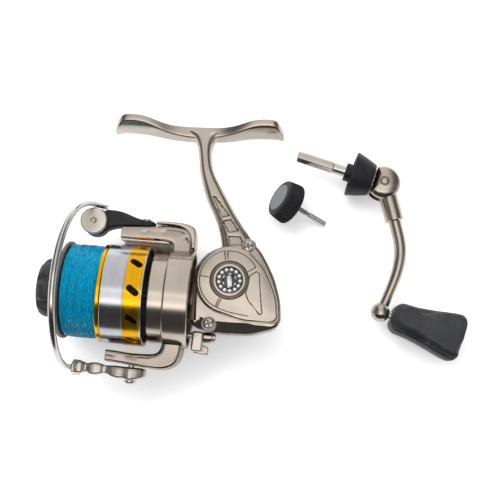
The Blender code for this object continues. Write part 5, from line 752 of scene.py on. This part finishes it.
ARM_DEPTH = 4.8
UPPER_ARM_TOP = ((-12.6, 14.0), (-12.6, 18.5), (-12.8, 21.8), (-15.5, 22.3), (-20.0, 22.6), (-24.2, 22.2), (-25.5, 21.9),
                 (-30.0, 21.5), (-35.9, 21.1))
UPPER_ARM_UNDER = ((-19.5, 14.0), (-19.6, 15.4), (-19.9, 16.9), (-21.0, 17.3), (-24.0, 17.3), (-27.0, 17.2),
                   (-31.0, 17.2), (-35.9, 17.3))
LOWER_ARM_OUTSIDE = ((-12.7, -14.0), (-12.7, -17.5), (-14.2, -21.0), (-17.5, -22.7), (-21.5, -22.7), (-26.0, -22.2),
                     (-31.0, -21.7), (-36.8, -21.3))
LOWER_ARM_INSIDE = ((-19.5, -14.0), (-19.6, -15.9), (-20.6, -17.6), (-22.8, -18.1), (-26.0, -18.2), (-29.0, -18.3),
                    (-33.0, -17.9), (-36.8, -17.7))


def rotor_drum():
    """The stepped cup, turned: a wide rear band with a seam, a narrower front, and the hub and web inside."""
    profile = rounded([
        (2.6, -17.0), (4.6, -17.0), (4.6, -20.8), (13.4, -20.8), (14.3, -19.3), (14.3, -11.6), (15.5, -11.6),
        (15.5, -19.3), (14.5, -19.4), (14.5, -24.0), (13.4, -24.0), (13.4, -22.4), (2.6, -22.4),
    ][::-1], [0.1, 0.2, 0.3, 0.35, 0.15, 0.5, 0.6, 0.3, 0.3, 0.3, 0.3, 0.2, 0.1], 6)

    # painted shade: the two seam lines round the outer band are darkened
    def seam(radius, height, angle):
        at = -height
        return np.where(radius > 14.2, np.maximum(1 - step(np.abs(at - 12.9), 0.05, 0.16),
                                                  1 - step(np.abs(at - 19.35), 0.05, 0.2)), 0)

    profile = np.stack((profile[:, 0], -profile[:, 1]), -1)
    dense = resampled(profile, 260)
    made = turned("rotor_drum", dense, (0, 0, 0), -X_AXIS, NICKEL, "rotor", ("rotor",), steps=160,
                  groove=seam)


def arm_wall():
    """The upper arm's inner wall: a shell 17.0 to 18.8 from the axis that bends round the spool."""
    turn = np.radians(np.linspace(12, -30, 26))[:, None]
    arch = np.hstack((np.cos(turn), np.sin(turn)))
    path = np.linspace((-19.2, 0, 0), (-35.4, 0, 0), 24)
    swept("rotor_arm_upper_wall", path, rounded(np.vstack((18.8 * arch, 17.0 * arch[::-1])), 0.2, 3), SHADED_NICKEL,
          "rotor")


def build_rotor():
    rotor_drum()
    arm_wall()

    def lower_line(x, y):
        return 0.25 * near_line(x, y, [((-36.0, -19.6), (-23.5, -19.5), (-20.9, -18.6), (-20.2, -16.0))], 0.22)

    def upper_line(x, y):
        return 0.25 * near_line(x, y, [((-35.0, 19.5), (-24.0, 20.6), (-19.0, 20.9), (-15.5, 20.3), (-14.0, 17.6))],
                                0.22)

    strip("rotor_arm_upper", UPPER_ARM_TOP, UPPER_ARM_UNDER, -ARM_DEPTH, ARM_DEPTH, 6, SHADED_NICKEL, "rotor",
          rows=200, columns=112, relief=upper_line, close_ends=(False, True), ends=0.02)
    strip("rotor_arm_lower", LOWER_ARM_OUTSIDE, LOWER_ARM_INSIDE, -ARM_DEPTH, ARM_DEPTH, 5, SHADED_NICKEL, "rotor",
          rows=200, columns=112, relief=lower_line, close_ends=(False, True), ends=0.02)
    strip("rotor_arm_cover_shell", ((-25.0, 23.3), (-24.0, 23.7), (-21.5, 23.8), (-17.5, 23.8), (-14.2, 23.5),
                                    (-12.3, 22.5), (-11.8, 20.5), (-11.9, 15.4)),
          ((-25.0, 22.8), (-24.0, 22.7), (-21.5, 22.8), (-18.5, 22.7), (-16.4, 22.2), (-14.6, 20.8), (-13.4, 18.6),
           (-12.9, 15.4)), -ARM_DEPTH - 0.3, ARM_DEPTH + 0.3, 6, NICKEL, "rotor", ("rotor_arm_cover",),
          rows=120, columns=72, smooth=2, ends=0.04)
    for end, side, outer in (("upper", 1, 23.9), ("lower", -1, 26.9)):
        cross_head("pivot_screw_head_" + end, (BAIL_X, side * outer, 0), STEEL, "rotor",
                   ("bail_pivot_screw_" + end,), head=1.9, plane=(X_AXIS, -side * Z_AXIS))
        turned("pivot_screw_shank_" + end, [(0, 0), (1.1, 0), (1.1, -(outer - 18.2)), (0, -(outer - 18.2))][::-1],
               (BAIL_X, side * outer, 0), side * Y_AXIS, STEEL, "rotor", steps=32)


# Bail: wire, arm, roller, lever

def bail_path(count):
    """The wire's arch: a half turn from arm to lever, pushed forwards and up by powers of its sine."""
    turn = math.pi * (1 - np.cos(np.linspace(0, math.pi, count))) / 2
    rise = np.maximum(np.sin(turn), 0)
    end_x = 41.5 + (47.6 - 41.5) * np.linspace(0, 1, count)
    return np.stack((-end_x - (49.7 - end_x) * rise ** 0.5, 1.75 + 25.85 * np.cos(turn), 25.0 * rise ** 0.85), -1)


def build_bail():
    wire = bail_path(200)
    wire = np.vstack((wire, ((-46.6, -24.1, 0.0), (-45.8, -24.1, 0.0))))
    wire = resampled(wire, 260, closed=False)
    thick = 0.8 + 0.3 * np.sin(math.pi * np.linspace(0, 1, 260)) ** 1.5
    swept("bail_wire_bow", wire, ring_section(1, 20), CHROME, "bail", ("bail_wire",), scale=thick)
    strap = smooth_line([(-41.2, 25.3, 2.9), (-41.3, 26.7, 2.4), (-42.0, 27.3, 1.8), (-43.4, 27.7, 1.1),
                         (-44.9, 27.6, 1.2)], 40)
    swept("bail_wire_strap", strap, ring_section(1, 20, 3) * (0.5, 1.1), CHROME, "bail",
          scale=domed_ends(40, 0.2))
    strip("bail_arm_body", ((-25.4, 22.2), (-28.5, 22.1), (-33.0, 21.8), (-36.5, 21.4), (-39.5, 20.7), (-42.0, 19.2)),
          ((-25.4, 23.8), (-28.5, 24.0), (-31.5, 24.6), (-36.0, 26.3), (-39.5, 26.7), (-42.6, 26.5)), -3.0, 2.6, 5,
          BLACK, "bail", ("bail_arm",), rows=120, columns=80, ends=0.08)
    turned("bail_arm_hub", rounded([(0, 22.1), (3.0, 22.1), (3.0, 23.8), (0, 23.8)], 0.4, closed=False),
           (BAIL_X, 0, 0), Y_AXIS, BLACK, "bail")
    turned("bail_arm_cup", rounded([(0, -3.4), (4.2, -3.4), (4.2, -1.0), (3.3, -1.0), (3.3, -1.5), (0, -1.5)],
                                   0.3, closed=False), (ROLLER[0], ROLLER[1], 0), Z_AXIS, BLACK, "bail")
    turned("bail_arm_cheek", rounded([(3.9, -1.0), (4.25, -1.0), (4.25, 2.2), (3.9, 2.2)], 0.15),
           (ROLLER[0] + 0.5, ROLLER[1] + 0.15, 0), Z_AXIS, BLACK, "bail")
    turned("roller_drum", rounded([(1.3, -0.7), (3.0, -0.7), (3.0, -0.1), (2.2, 1.15), (3.0, 2.4), (3.0, 3.0),
                                   (1.3, 3.0)], [0.1, 0.3, 0.4, 0.8, 0.4, 0.3, 0.1], 6),
           (ROLLER[0], ROLLER[1], 0), Z_AXIS, CHROME, "line_roller", ("line_roller",))
    turned("roller_cap", rounded([(0, -3.4), (1.0, -3.4), (1.0, 3.3), (4.25, 3.3), (4.25, 4.7), (1.0, 4.72),
                                  (0.55, 4.25), (0, 4.2)], [0, 0.1, 0.05, 0.2, 0.55, 0.2, 0.2, 0], 6, closed=False),
           (ROLLER[0], ROLLER[1], 0), Z_AXIS, PEARL, "bail", ("roller_cap_screw",))
    build_lever()


def build_lever():
    """The cast lever: two round bulges with waists between, a hexagonal nut where the wire enters."""
    along = np.array((-46.4, -45.8, -44.6, -43.6, -42.8, -42.2, -41.0, -39.4, -37.8, -36.8, -35.8, -34.4, -32.6, -30.6,
                      -28.4, -26.4, -24.8, -23.6))
    inner = np.array((-22.3, -22.0, -21.9, -22.0, -22.4, -22.5, -22.1, -22.0, -22.3, -22.6, -22.6, -22.5, -22.5, -22.6,
                      -22.6, -22.6, -22.7, -23.1))
    outer = np.array((-25.4, -25.8, -25.9, -25.7, -25.2, -25.2, -25.8, -25.9, -25.5, -25.1, -25.3, -26.0, -26.4, -26.3,
                      -26.9, -26.3, -25.7, -25.1))
    depth = np.array((2.0, 2.4, 2.6, 2.4, 1.7, 1.7, 2.3, 2.5, 2.2, 1.8, 1.9, 2.5, 2.8, 3.0, 3.5, 3.0, 2.4, 1.6))
    t = np.linspace(0, 1, 150)
    share = np.linspace(0, 1, len(along))
    fine = np.array([np.interp(t, share, values) for values in (along, inner, outer, depth)])
    kernel = np.hanning(9) / np.hanning(9).sum()
    fine = np.array([np.convolve(np.pad(row, 4, "edge"), kernel, "valid") for row in fine])
    section = ring_section(1, 48, 5)
    shrink = np.sqrt(np.clip(1 - (1 - np.clip(np.minimum(t, 1 - t) / 0.03, 0, 1)) ** 2, 0.02, 1))[:, None]
    y = (fine[1] + fine[2])[:, None] / 2 + section[None, :, 0] * (fine[1] - fine[2])[:, None] / 2 * shrink
    z = section[None, :, 1] * fine[3][:, None] * shrink
    points = np.stack((np.repeat(fine[0][:, None], 48, 1), y, z), -1)
    piece("bail_lever_cast", points.reshape(-1, 3), tube_faces(150, 48), HEX_STEEL, "bail",
                   ("bail_lever",))
    hexagon = resampled(rounded(arc((0, 0), 2.55, 0, 300, 6), 0.3, 3), 48)
    slab("bail_wire_nut", hexagon, -46.9, -44.3, 0.25, CHROME, "bail", plane=(Y_AXIS, Z_AXIS),
         centre=(0, -24.1, 0))
    turned("bail_wire_seat", rounded([(0.8, 46.7), (1.45, 46.7), (1.45, 47.25), (0.8, 47.25)], 0.15), (0, -24.1, 0),
           -X_AXIS, SATIN_GREY, "bail", steps=48)


# Spool, line and drag

SLOTS = 11
SLOT_PHASE = math.radians(90)


def slot_mask(radius, height, angle):
    """1 inside the slanted, round-ended slots round the band."""
    place = (angle - SLOT_PHASE + math.tau / SLOTS / 2) % (math.tau / SLOTS) - math.tau / SLOTS / 2
    across = place * 15.9
    along = height - 28.3
    turn = math.radians(35)
    u = along * math.cos(turn) + across * math.sin(turn)
    v = across * math.cos(turn) - along * math.sin(turn)
    reach = np.hypot(np.maximum(np.abs(u) - 1.2, 0), v)
    return 1 - step(reach, 0.82, 0.96)


def spool_parts():
    """Turned about the spool's axis: front lip and arbor, silver band, gold band with its slots, and edge rings."""
    def sink(radius, height, angle):
        radius = radius + 0 * angle
        height = height + 0 * angle
        return radius - 0.9 * slot_mask(radius, height, angle) * (radius > 15.5), height

    lip = rounded([(1.6, 47.8), (7.4, 47.8), (7.4, 52.0), (15.4, 52.0), (15.4, 50.65), (10.5, 50.6), (10.5, 38.4),
                   (4.6, 38.4), (4.6, 35.4), (1.6, 35.4)][::-1], [0.1, 0.2, 0.2, 0.3, 0.3, 0.5, 0.55, 0.4, 0.2, 0.1], 6)
    turned("spool_lip", lip, (0, 0, 0), -X_AXIS, LIP_GREY, "spool", ("spool_core",), steps=128)
    rim = rounded([(10.8, 39.6), (15.55, 39.6), (15.55, 38.15), (10.8, 38.15)], [0.1, 0.45, 0.3, 0.1], 6)
    turned("spool_rim", rim, (0, 0, 0), -X_AXIS, GOLD, "spool", steps=128)
    band = rounded([(15.0, 38.0), (15.8, 38.0), (15.8, 31.3), (15.0, 31.3)], [0.1, 0.25, 0.15, 0.1], 6)
    turned("silver_band", resampled(band, 80), (0, 0, 0), -X_AXIS, SILVER, "spool", steps=160)
    gold = [(14.9, 31.2), (15.4, 31.25), (15.88, 31.1)] + [(15.9, height) for height in np.linspace(30.9, 26.2, 48)]
    gold += [(15.88, 26.05), (14.9, 26.0)]
    # painted shade: the slots are darkened through slot_mask as well as sunk
    turned("gold_band", gold, (0, 0, 0), -X_AXIS, GOLD, "spool", ("spool_skirt", "spool_band"),
                    steps=900, radius_at=sink, groove=lambda radius, height, angle: np.where(
                        radius > 14.92, slot_mask(radius, height + 0 * angle, angle + 0 * radius), 0))
    edge = rounded([(14.9, 26.05), (15.95, 26.05), (15.95, 25.4), (14.9, 25.4)], [0.05, 0.2, 0.25, 0.1], 5)
    turned("band_edge", edge, (0, 0, 0), -X_AXIS, CHROME, "spool", steps=128)
    joint = rounded([(15.0, 31.35), (15.93, 31.35), (15.93, 31.1), (15.0, 31.1)], 0.08, 4)
    turned("band_joint", joint, (0, 0, 0), -X_AXIS, CHROME, "spool", steps=128)
    sleeve = [(14.2, 38.0), (14.95, 38.0), (14.95, 25.5), (14.75, 25.5), (14.75, 30.0), (14.2, 30.2)]
    turned("skirt_sleeve", sleeve, (0, 0, 0), -X_AXIS, SATIN_GREY, "spool", steps=96)


def line_bay():
    """The line: a drum with a slightly crowned face, a helix of fine strands on it, and steeper strands that cross."""
    front, back = 50.4, 39.8

    def crown(height):
        t = (height - back) / (front - back)
        return 14.15 + 0.32 * np.sin(math.pi * np.clip(t, 0, 1)) ** 0.5

    heights = np.linspace(back, front, 30)
    drum = np.vstack(([(10.6, back)], np.stack((crown(heights), heights), -1), [(10.6, front)]))
    turned("line_drum", drum, (0, 0, 0), -X_AXIS, LINE, "spool", ("line_core",), steps=160)

    def strands(name, loops, per_loop, radius, start, passes, lift, replaced=()):
        count = loops * per_loop
        t = np.linspace(0, 1, count)
        sweep = np.abs((t * passes + start) % 2 - 1)
        height = back + 0.15 + (front - back - 0.3) * sweep
        turn = math.tau * loops * t + start * 9
        wobble = 0.05 * np.sin(turn * 5.3 + 1.7) + 0.04 * np.sin(turn * 2.1)
        reach = crown(height) + lift + wobble * 0.5
        path = np.stack((-height - wobble, reach * np.cos(turn), reach * np.sin(turn)), -1)
        swept(name, path, ring_section(radius, 6), LINE, "spool", replaced, up=X_AXIS)

    strands("line_strands", 44, 72, 0.13, 0.0, 1, 0.04, ("line_winding",))
    strands("line_cross_strands", 22, 72, 0.12, 0.35, 5, 0.12)
    strands("line_over_strands", 12, 72, 0.12, 0.8, 7, 0.20)


def drag_knob_shape():
    """The knob: a drum whose radius dips in seven finger grips, with a rounded rim and a shallow dish in front."""
    profile = rounded([(0.02, 59.2), (4.4, 59.2), (5.0, 59.5), (8.0, 59.5), (9.5, 57.6), (9.5, 54.6), (8.9, 53.8),
                       (6.4, 53.8), (6.4, 51.6), (0.02, 51.6)], [0, 0.5, 0.5, 1.4, 1.4, 0.8, 0.4, 0.3, 0.2, 0], 7,
                      closed=False)

    def grips(radius, height, angle):
        dip = np.abs(((angle * 7 / math.tau) % 1) - 0.5) * 2
        shape = 1.15 * step(dip, 0.45, 1.0) * step(radius, 7.2, 9.0) * step(height, 53.6, 55.0)
        return radius - shape, height + 0 * angle

    def rim(radius, height, angle):
        return step(radius, 8.3, 9.3) * (step(height, 57.2, 58.4) + 1 - step(height, 54.0, 54.8))

    turned("drag_knob_shell", profile, (0, 0, 0), -X_AXIS, SOFT_BLACK, "drag_knob", ("drag_knob",),
                    steps=224, radius_at=grips, edge=rim)


# Lever, handle and cap screw

LEVER_Y = -11.2


def build_lever_and_clip():
    """The anti-reverse lever: a small warm-steel block with a bent tab, and the clip on its spindle."""
    slab("lever_block", rounded([(-10.5, -4.8), (-6.9, -4.8), (-6.9, 1.5), (-10.5, 1.5)], 0.8), -1.7, 1.7, 0.6, HEX_STEEL,
         "anti_reverse_lever", ("anti_reverse_lever",), centre=(0, LEVER_Y, 0))
    slab("lever_tab", rounded([(-9.6, -3.0), (-9.6, -5.4), (-5.0, -5.7), (-4.9, -3.3), (-6.1, -3.0), (-6.4, -2.6)],
                              0.35), -1.0, 1.0, 0.4, HEX_STEEL, "anti_reverse_lever",
         centre=(0, LEVER_Y, 0))
    turned("lever_spindle", [(0.02, 3.0), (1.0, 3.0), (1.0, 16.3), (0.02, 16.3)], (0, LEVER_Y, 0), -X_AXIS, STEEL,
           "anti_reverse_lever", steps=40)
    turned("clip_ring", rounded([(0.95, 3.3), (1.7, 3.3), (1.7, 3.9), (0.95, 3.9)], 0.1), (0, LEVER_Y, 0), -X_AXIS,
           STEEL, "anti_reverse_lever", ("lever_clip",), steps=48)


HANDLE_ALONG = np.asarray(KNUCKLE_AXIS, float)
HANDLE_SIDE = np.cross(Z_AXIS, HANDLE_ALONG)
HANDLE_PLANE = (HANDLE_ALONG, HANDLE_SIDE)
ROD_SHARES = ((0, 0.08), (0.12, 0.30), (0.30, 0.62), (0.505, 0.95), (0.68, 0.84), (0.84, 0.55))
ROD_REACH = 43.2
ROD_BOW = 7.9
ROD_END = (49.5, 2.0)


def build_handle():
    """The folding handle: hexagonal shaft, sliding collar, knuckle with its pin, bowed rod with a ball."""
    hexagon = rounded(arc((0, 0), 2.05, 0, 300, 6), 0.22, 4)
    slab("hex_shaft", hexagon, -30.07, -17.37, 0.35, HEX_STEEL, "housing", ("handle_shaft",),
         plane=(HANDLE_SIDE, Z_AXIS), centre=KNUCKLE)
    turned("round_shaft", rounded([(0.02, -17.5), (1.85, -17.5), (1.85, -2.9), (0.02, -2.9)], 0.2, closed=False),
           KNUCKLE, HANDLE_ALONG, STEEL, "housing", steps=48)

    def wear(radius, height, angle):
        return step(radius, 5.0, 6.4) * (1 - step(height, -8.0, -4.0)) + 0 * angle

    collar = rounded([(1.9, -13.3), (3.1, -13.3), (3.1, -9.2), (6.3, -10.2), (6.3, -11.1), (7.5, -11.1), (7.5, -10.6),
                      (6.6, -7.4), (5.3, -3.7), (3.5, -3.7), (3.5, -6.3), (1.9, -6.3)],
                     [0.1, 0.3, 0.4, 0.3, 0.15, 0.3, 0.3, 0.8, 0.5, 0.3, 0.2, 0.1], 6)
    turned("collar_skirt", collar, KNUCKLE, HANDLE_ALONG, BLACK, "handle_collar", ("handle_collar",),
           steps=128, edge=wear)
    knuckle()
    turned("pin_rivet", rounded([(0.02, -4.3), (1.0, -4.3), (1.0, 4.3), (0.02, 4.3)], 0.25, closed=False), KNUCKLE,
           Z_AXIS, HEX_STEEL, "crank_arm", ("knuckle_pin",), steps=48)
    rod = [(KNUCKLE[0] + across * ROD_BOW, KNUCKLE[1] - ROD_REACH * along, KNUCKLE[2]) for along, across in ROD_SHARES]
    rod = smooth_line(rod + [(ROD_END[0], ROD_END[1], KNUCKLE[2])], 120, rounds=4)
    share = np.linspace(0, 1, 120)
    grown = 2.05 - 0.35 * step(share, 0.45, 0.9) + 0.95 * (1 - step(share, 0.285, 0.295))
    swept("crank_rod", rod, ring_section(1, 32), NICKEL, "crank_arm", ("crank_arm",), scale=grown)
    ball = arc((0, 0), 3.15, -89, 89, 40)
    turned("crank_ball", np.stack((ball[:, 0], ball[:, 1]), -1), (ROD_END[0], ROD_END[1], KNUCKLE[2]), Z_AXIS, NICKEL,
           "crank_arm", steps=64)


def knuckle():
    """A round cheek block, domed above, with a slot for the shaft's tongue and a flat that stops the fold."""
    outline = np.vstack((arc((0, 0), 5.6, -126, 126, 60),))
    outline = rounded(np.vstack((outline, [(-3.3, 4.5), (-3.3, -4.5)])), 0.0, closed=True)
    for name, low, high in (("top", 1.75, 4.25), ("base", -4.25, -1.75)):
        domed_cheek("knuckle_cheek_" + name, outline, low, high, 1 if low > 0 else -1)
    slab("knuckle_bridge", rounded([(1.2, -5.0), (5.0, -2.6), (5.0, 2.2), (1.2, 5.0)], 0.8), -1.9, 1.9, 0.1, NICKEL,
         "crank_arm", plane=HANDLE_PLANE, centre=KNUCKLE)


def domed_cheek(name, outline, low, high, side):
    """Rings of the outline shrink to the middle while the face rises by a shallow dome; a ring is cut round the pin."""
    rings = 40
    share = np.concatenate((np.linspace(0.03, 0.86, 26), 0.86 + 0.14 * np.sin(np.linspace(0, math.pi / 2, rings - 26))))
    outline = anticlockwise(resampled(outline, 120))
    flat = outline[None] * share[:, None, None]
    radius = np.linalg.norm(flat, axis=-1)
    thick = high - low
    dome = thick * np.sqrt(np.clip(1 - 0.94 * share[:, None] ** 5, 0, 1)) * (0.72 + 0.28 * (1 - share[:, None] ** 2))
    cut = 0.35 * (step(radius, 1.0, 1.15) * (1 - step(radius, 1.45, 1.65)))
    near, far = (low, 1) if side > 0 else (high, -1)
    level = near + far * (dome - cut)
    under = np.full((1, len(outline)), near)
    flat = np.vstack((flat, outline[None], outline[None] * 0.05))
    level = np.vstack((level, under, under))
    points = (np.asarray(KNUCKLE) + flat[..., :1] * HANDLE_ALONG + flat[..., 1:] * HANDLE_SIDE
              + level[..., None] * Z_AXIS)
    # painted shade: the ring cut round the pin is darkened
    groove = np.vstack((cut, np.zeros((2, len(outline)))))
    piece(name, points.reshape(-1, 3), tube_faces(len(points), len(outline)), NICKEL, "crank_arm", (),
                   {"groove": groove, "edge": groove * 0})


def build_grip():
    """The paddle knob: sections along its axis, wider to the end, with a raised panel line, and the spindle's head."""
    side = np.cross(Z_AXIS, GRIP_AXIS)
    share = np.linspace(0, 1, 200)
    along = 3.8 + 23.7 * share
    half = np.interp(share, (0, 0.10, 0.30, 0.55, 0.80, 0.93, 1), (4.4, 5.1, 5.3, 6.3, 7.6, 8.0, 7.8))
    kernel = np.hanning(41) / np.hanning(41).sum()
    half = np.convolve(np.pad(half, 20, "edge"), kernel, "valid")
    end = np.minimum(share / 0.10, (1 - share) / 0.12)
    half = half - 2.6 * (1 - np.sqrt(np.clip(1 - (1 - np.clip(end, 0, 1)) ** 2, 0, 1)))
    thick = 4.8 - 1.1 * (1 - np.sqrt(np.clip(1 - (1 - np.clip(end * 2.2, 0, 1)) ** 2, 0, 1)))
    section = ring_section(1, 120, 4.5)
    across = section[None, :, 0] * half[:, None]
    level = section[None, :, 1] * thick[:, None]
    wide = np.where(across < 0, 2.6 - 1.2 * share[:, None], 0)
    inset = np.minimum(half[:, None] - np.abs(across) - wide, np.minimum(along - 3.8, 27.5 - along)[:, None])
    flat = step(np.abs(section[None, :, 1]), 0.8, 0.95)
    line = (step(inset, 1.2, 1.4) - step(inset, 1.7, 1.9)) * flat
    level = level - np.sign(section[None, :, 1]) * flat * (0.18 * line + 1.1 * np.clip(1 - inset / 1.4, 0, 1.6) * (wide > 0))
    points = (np.asarray(GRIP) + along[:, None, None] * GRIP_AXIS + across[..., None] * side + level[..., None] * Z_AXIS)
    edge = step(np.abs(section[None, :, 0] * section[None, :, 1]), 0.35, 0.6) + 0 * across
    piece("grip_paddle", points.reshape(-1, 3), tube_faces(200, 120), SOFT_BLACK, "handle_knob",
                       ("handle_knob",), {"edge": np.clip(edge + line * 0.6, 0, 1), "groove": line * 0})
    turned("spindle_head", rounded([(0.02, 25.4), (2.3, 25.4), (2.3, 27.7), (1.5, 27.85), (0.02, 27.85)], 0.3,
                                   closed=False), GRIP, GRIP_AXIS, STEEL, "crank_arm", ("knob_spindle",),
           steps=64)
    turned("spindle_neck", rounded([(0.02, 0.0), (1.3, 0.0), (1.3, 4.2), (0.02, 4.2)], 0.1, closed=False), GRIP,
           GRIP_AXIS, STEEL, "crank_arm", steps=48)


CAP_ORIGIN = np.array((18.3, 35.4, -9.3))
CAP_AXIS = np.array((0.838, -0.305, -0.453))


def build_cap():
    """The cap screw: a ribbed cap with a grey disc in its face, its hollow back and its zinc shank."""
    def ribs(radius, height, angle):
        ridge = 0.5 + 0.5 * np.cos(angle * 44)
        return radius - 0.34 * ridge * step(radius, 5.6, 6.2) * (1 - step(np.abs(height + 2.8), 2.2, 2.6)), \
            height + 0 * angle

    def wear(radius, height, angle):
        return step(radius, 5.5, 6.0) * (0.4 + 0.6 * np.cos(angle * 44)) + 0 * height

    cap = rounded([(2.0, -5.9), (4.7, -5.9), (5.0, -5.9), (6.4, -5.6), (6.9, -2.4), (7.1, -1.0), (7.0, -0.3), (5.1, -0.3),
                   (5.1, -2.9), (2.8, -2.9), (2.8, 0), (1.05, 0), (1.05, -4.0), (2.0, -4.0)],
                  [0, 0.1, 0.2, 0.7, 0.2, 0.3, 0.35, 0.3, 0.2, 0.2, 0.2, 0.1, 0.1, 0], 6)
    turned("cap_shell", cap, CAP_ORIGIN, CAP_AXIS, BLACK, "housing", ("cap_screw_knob",), steps=352,
           radius_at=ribs, edge=wear)
    turned("cap_disc", rounded([(0.02, -5.3), (4.62, -5.3), (4.62, -6.05), (0.02, -6.05)], 0.2, closed=False),
           CAP_ORIGIN, CAP_AXIS, GREY_DISC, "housing", ("cap_screw_disc",), steps=96)
    shank = rounded([(0.02, -4.0), (1.0, -4.0), (1.0, 5.8), (0.75, 5.9), (0.75, 6.7), (1.05, 6.8), (1.05, 13.7),
                     (0.02, 13.9)], [0, 0, 0.1, 0.1, 0.1, 0.1, 0.25, 0], 4, closed=False)
    turned("cap_shank", resampled(shank, 160, closed=False), CAP_ORIGIN, CAP_AXIS, ZINC, "housing",
           ("cap_screw_shank",), steps=40,
           radius_at=lambda radius, height, angle: (
               radius - 0.09 * (0.5 + 0.5 * np.cos(math.tau * height / 0.55 - angle)) * step(radius, 0.85, 0.95)
               * step(height, 6.9, 7.2), height + 0 * angle))


# CAD pieces that stay in view keep their meshes and get these finishes

KEPT_FINISHES = {
    "left_bush": BRASS, "pinion_bearing": STEEL, "drive_gear": ZINC, "oscillating_gear": BRASS, "pinion_gear": BRASS,
    "ratchet_wheel": STEEL, "rotor_nut": STEEL, "bail_spring": STEEL, "drag_washer_1": FELT, "drag_washer_2": FELT,
    "drag_washer_3": FELT, "drag_nut": BRASS, "main_shaft": STEEL, "slider_block": BRASS, "anti_reverse_pawl": STEEL,
}


def finish_kept_pieces():
    for node, finish in KEPT_FINISHES.items():
        for slot in frame["nodes"][node].material_slots:
            slot.material = finish.owner


# The stage

def floor_finish():
    finish = surface("pale_board", rgb(0.84, 0.84, 0.845), 0.5, 0.0, Specular_IOR_Level=0.25,
                     Emission_Strength=1.0)
    grain = finish.noise(220, 4)
    finish.set("Base Color", finish.mix(grain.above(0.3, 0.5) * 0.4, rgb(0.93, 0.93, 0.932), rgb(0.91, 0.91, 0.913)))
    finish.set("Roughness", grain * 0.1 + 0.45)
    finish.set("Emission Color", finish.mix(finish.node("LightPath", {}, {}, "Is Camera Ray"), rgb(0, 0, 0),
                                            rgb(0.28, 0.28, 0.285)))
    return finish


def build_stage():
    """A flat floor under the reel."""
    half = FLOOR_HALF
    low = min(corner[2] for corner in CAD_BOX)
    data = bpy.data.meshes.new("floor")
    data.from_pydata([(-half, -half, low), (half, -half, low), (half, half, low), (-half, half, low)], [],
                     [(0, 1, 2, 3)])
    data.materials.append(floor_finish().owner)
    made = bpy.data.objects.new("floor", data)
    bpy.context.scene.collection.objects.link(made)


SKY_BANDS = (
    (0.00, 0.030), (0.235, 0.020), (0.262, 0.50), (0.285, 1.0), (0.33, 0.95), (0.38, 0.62), (0.46, 0.58), (0.535, 0.76),
    (0.565, 0.50), (0.61, 0.42), (0.80, 0.42), (1.00, 0.46),
)
SKY_SIDES = ((0.00, 0.30), (0.12, 0.10), (0.24, 0.16), (0.32, 0.80), (0.38, 1.0), (0.62, 1.0), (0.70, 0.55), (0.80, 0.12),
             (0.92, 0.15), (1.00, 0.40))
SKY_GLOSS = (1.95, 1.92, 1.88)
SKY_SOFT = (rgb(0.26, 0.26, 0.26), rgb(1.66, 1.66, 1.66))


def build_world():
    """The studio: white to the camera, and lit from behind the reel's foot.

    Metal mirrors bands along Y: a dark room in front of the reel, a bright window overhead, a grey wall behind it.
    Both ends of the room, along X, are dark as well.
    """
    world = bpy.data.worlds.new("studio")
    bpy.context.scene.world = world
    sky = Finish(world, "Background")
    toward = sky.node("TexCoord", {}, {}, "Generated")

    def bands(axis, levels):
        share = sky.node("MapRange", {}, {"Value": sky.node("SeparateXYZ", {}, {0: toward}, axis), "From Min": -1})
        stops = [(position, (level, level, level)) for position, level in levels]
        return share, sky.node("ValToRGB", {"stops": stops}, {"Fac": share})

    behind, window = bands("Y", SKY_BANDS)
    for factor in (bands("X", SKY_SIDES)[1], SKY_GLOSS):
        window = sky.node("VectorMath", {"operation": "MULTIPLY"}, {0: window, 1: factor})
    soft = sky.mix(behind, *SKY_SOFT)
    shade = sky.mix(sky.node("LightPath", {}, {}, "Is Glossy Ray"), soft, window)
    sky.set("Color", sky.mix(sky.node("LightPath", {}, {}, "Is Camera Ray"), shade, rgb(1, 1, 1)))


def area_light(name, place, target, size, power, mirrored=False):
    light = bpy.data.lights.new(name, "AREA")
    light.shape = "RECTANGLE"
    light.size, light.size_y = size
    light.energy = power
    made = bpy.data.objects.new(name, light)
    made.location = place
    direction = np.asarray(target, float) - np.asarray(place, float)
    aim = Vector(direction).to_track_quat("-Z", "Y")
    made.rotation_euler = aim.to_euler()
    made.visible_glossy = mirrored
    bpy.context.scene.collection.objects.link(made)
    return made


def build_camera():
    scene = bpy.context.scene
    camera = bpy.data.objects.new("camera", bpy.data.cameras.new("camera"))
    camera.data.lens = CAMERA_LENS
    camera.data.clip_start = 10 * MM
    camera.rotation_euler = (CAMERA_TILT, 0, CAMERA_TURN)
    camera.location = CAMERA_PLACE
    scene.collection.objects.link(camera)
    scene.camera = camera
    scene.view_settings.view_transform = "Standard"


def main():
    build_body()
    build_cover()
    build_rotor()
    build_bail()
    spool_parts()
    line_bay()
    drag_knob_shape()
    build_lever_and_clip()
    build_handle()
    build_grip()
    build_cap()
    finish_kept_pieces()
    build_stage()
    build_world()
    area_light("key", (-0.20, 0.22, 0.50), (0, 0, 0), (0.40, 0.30), 1.5)
    build_camera()


main()
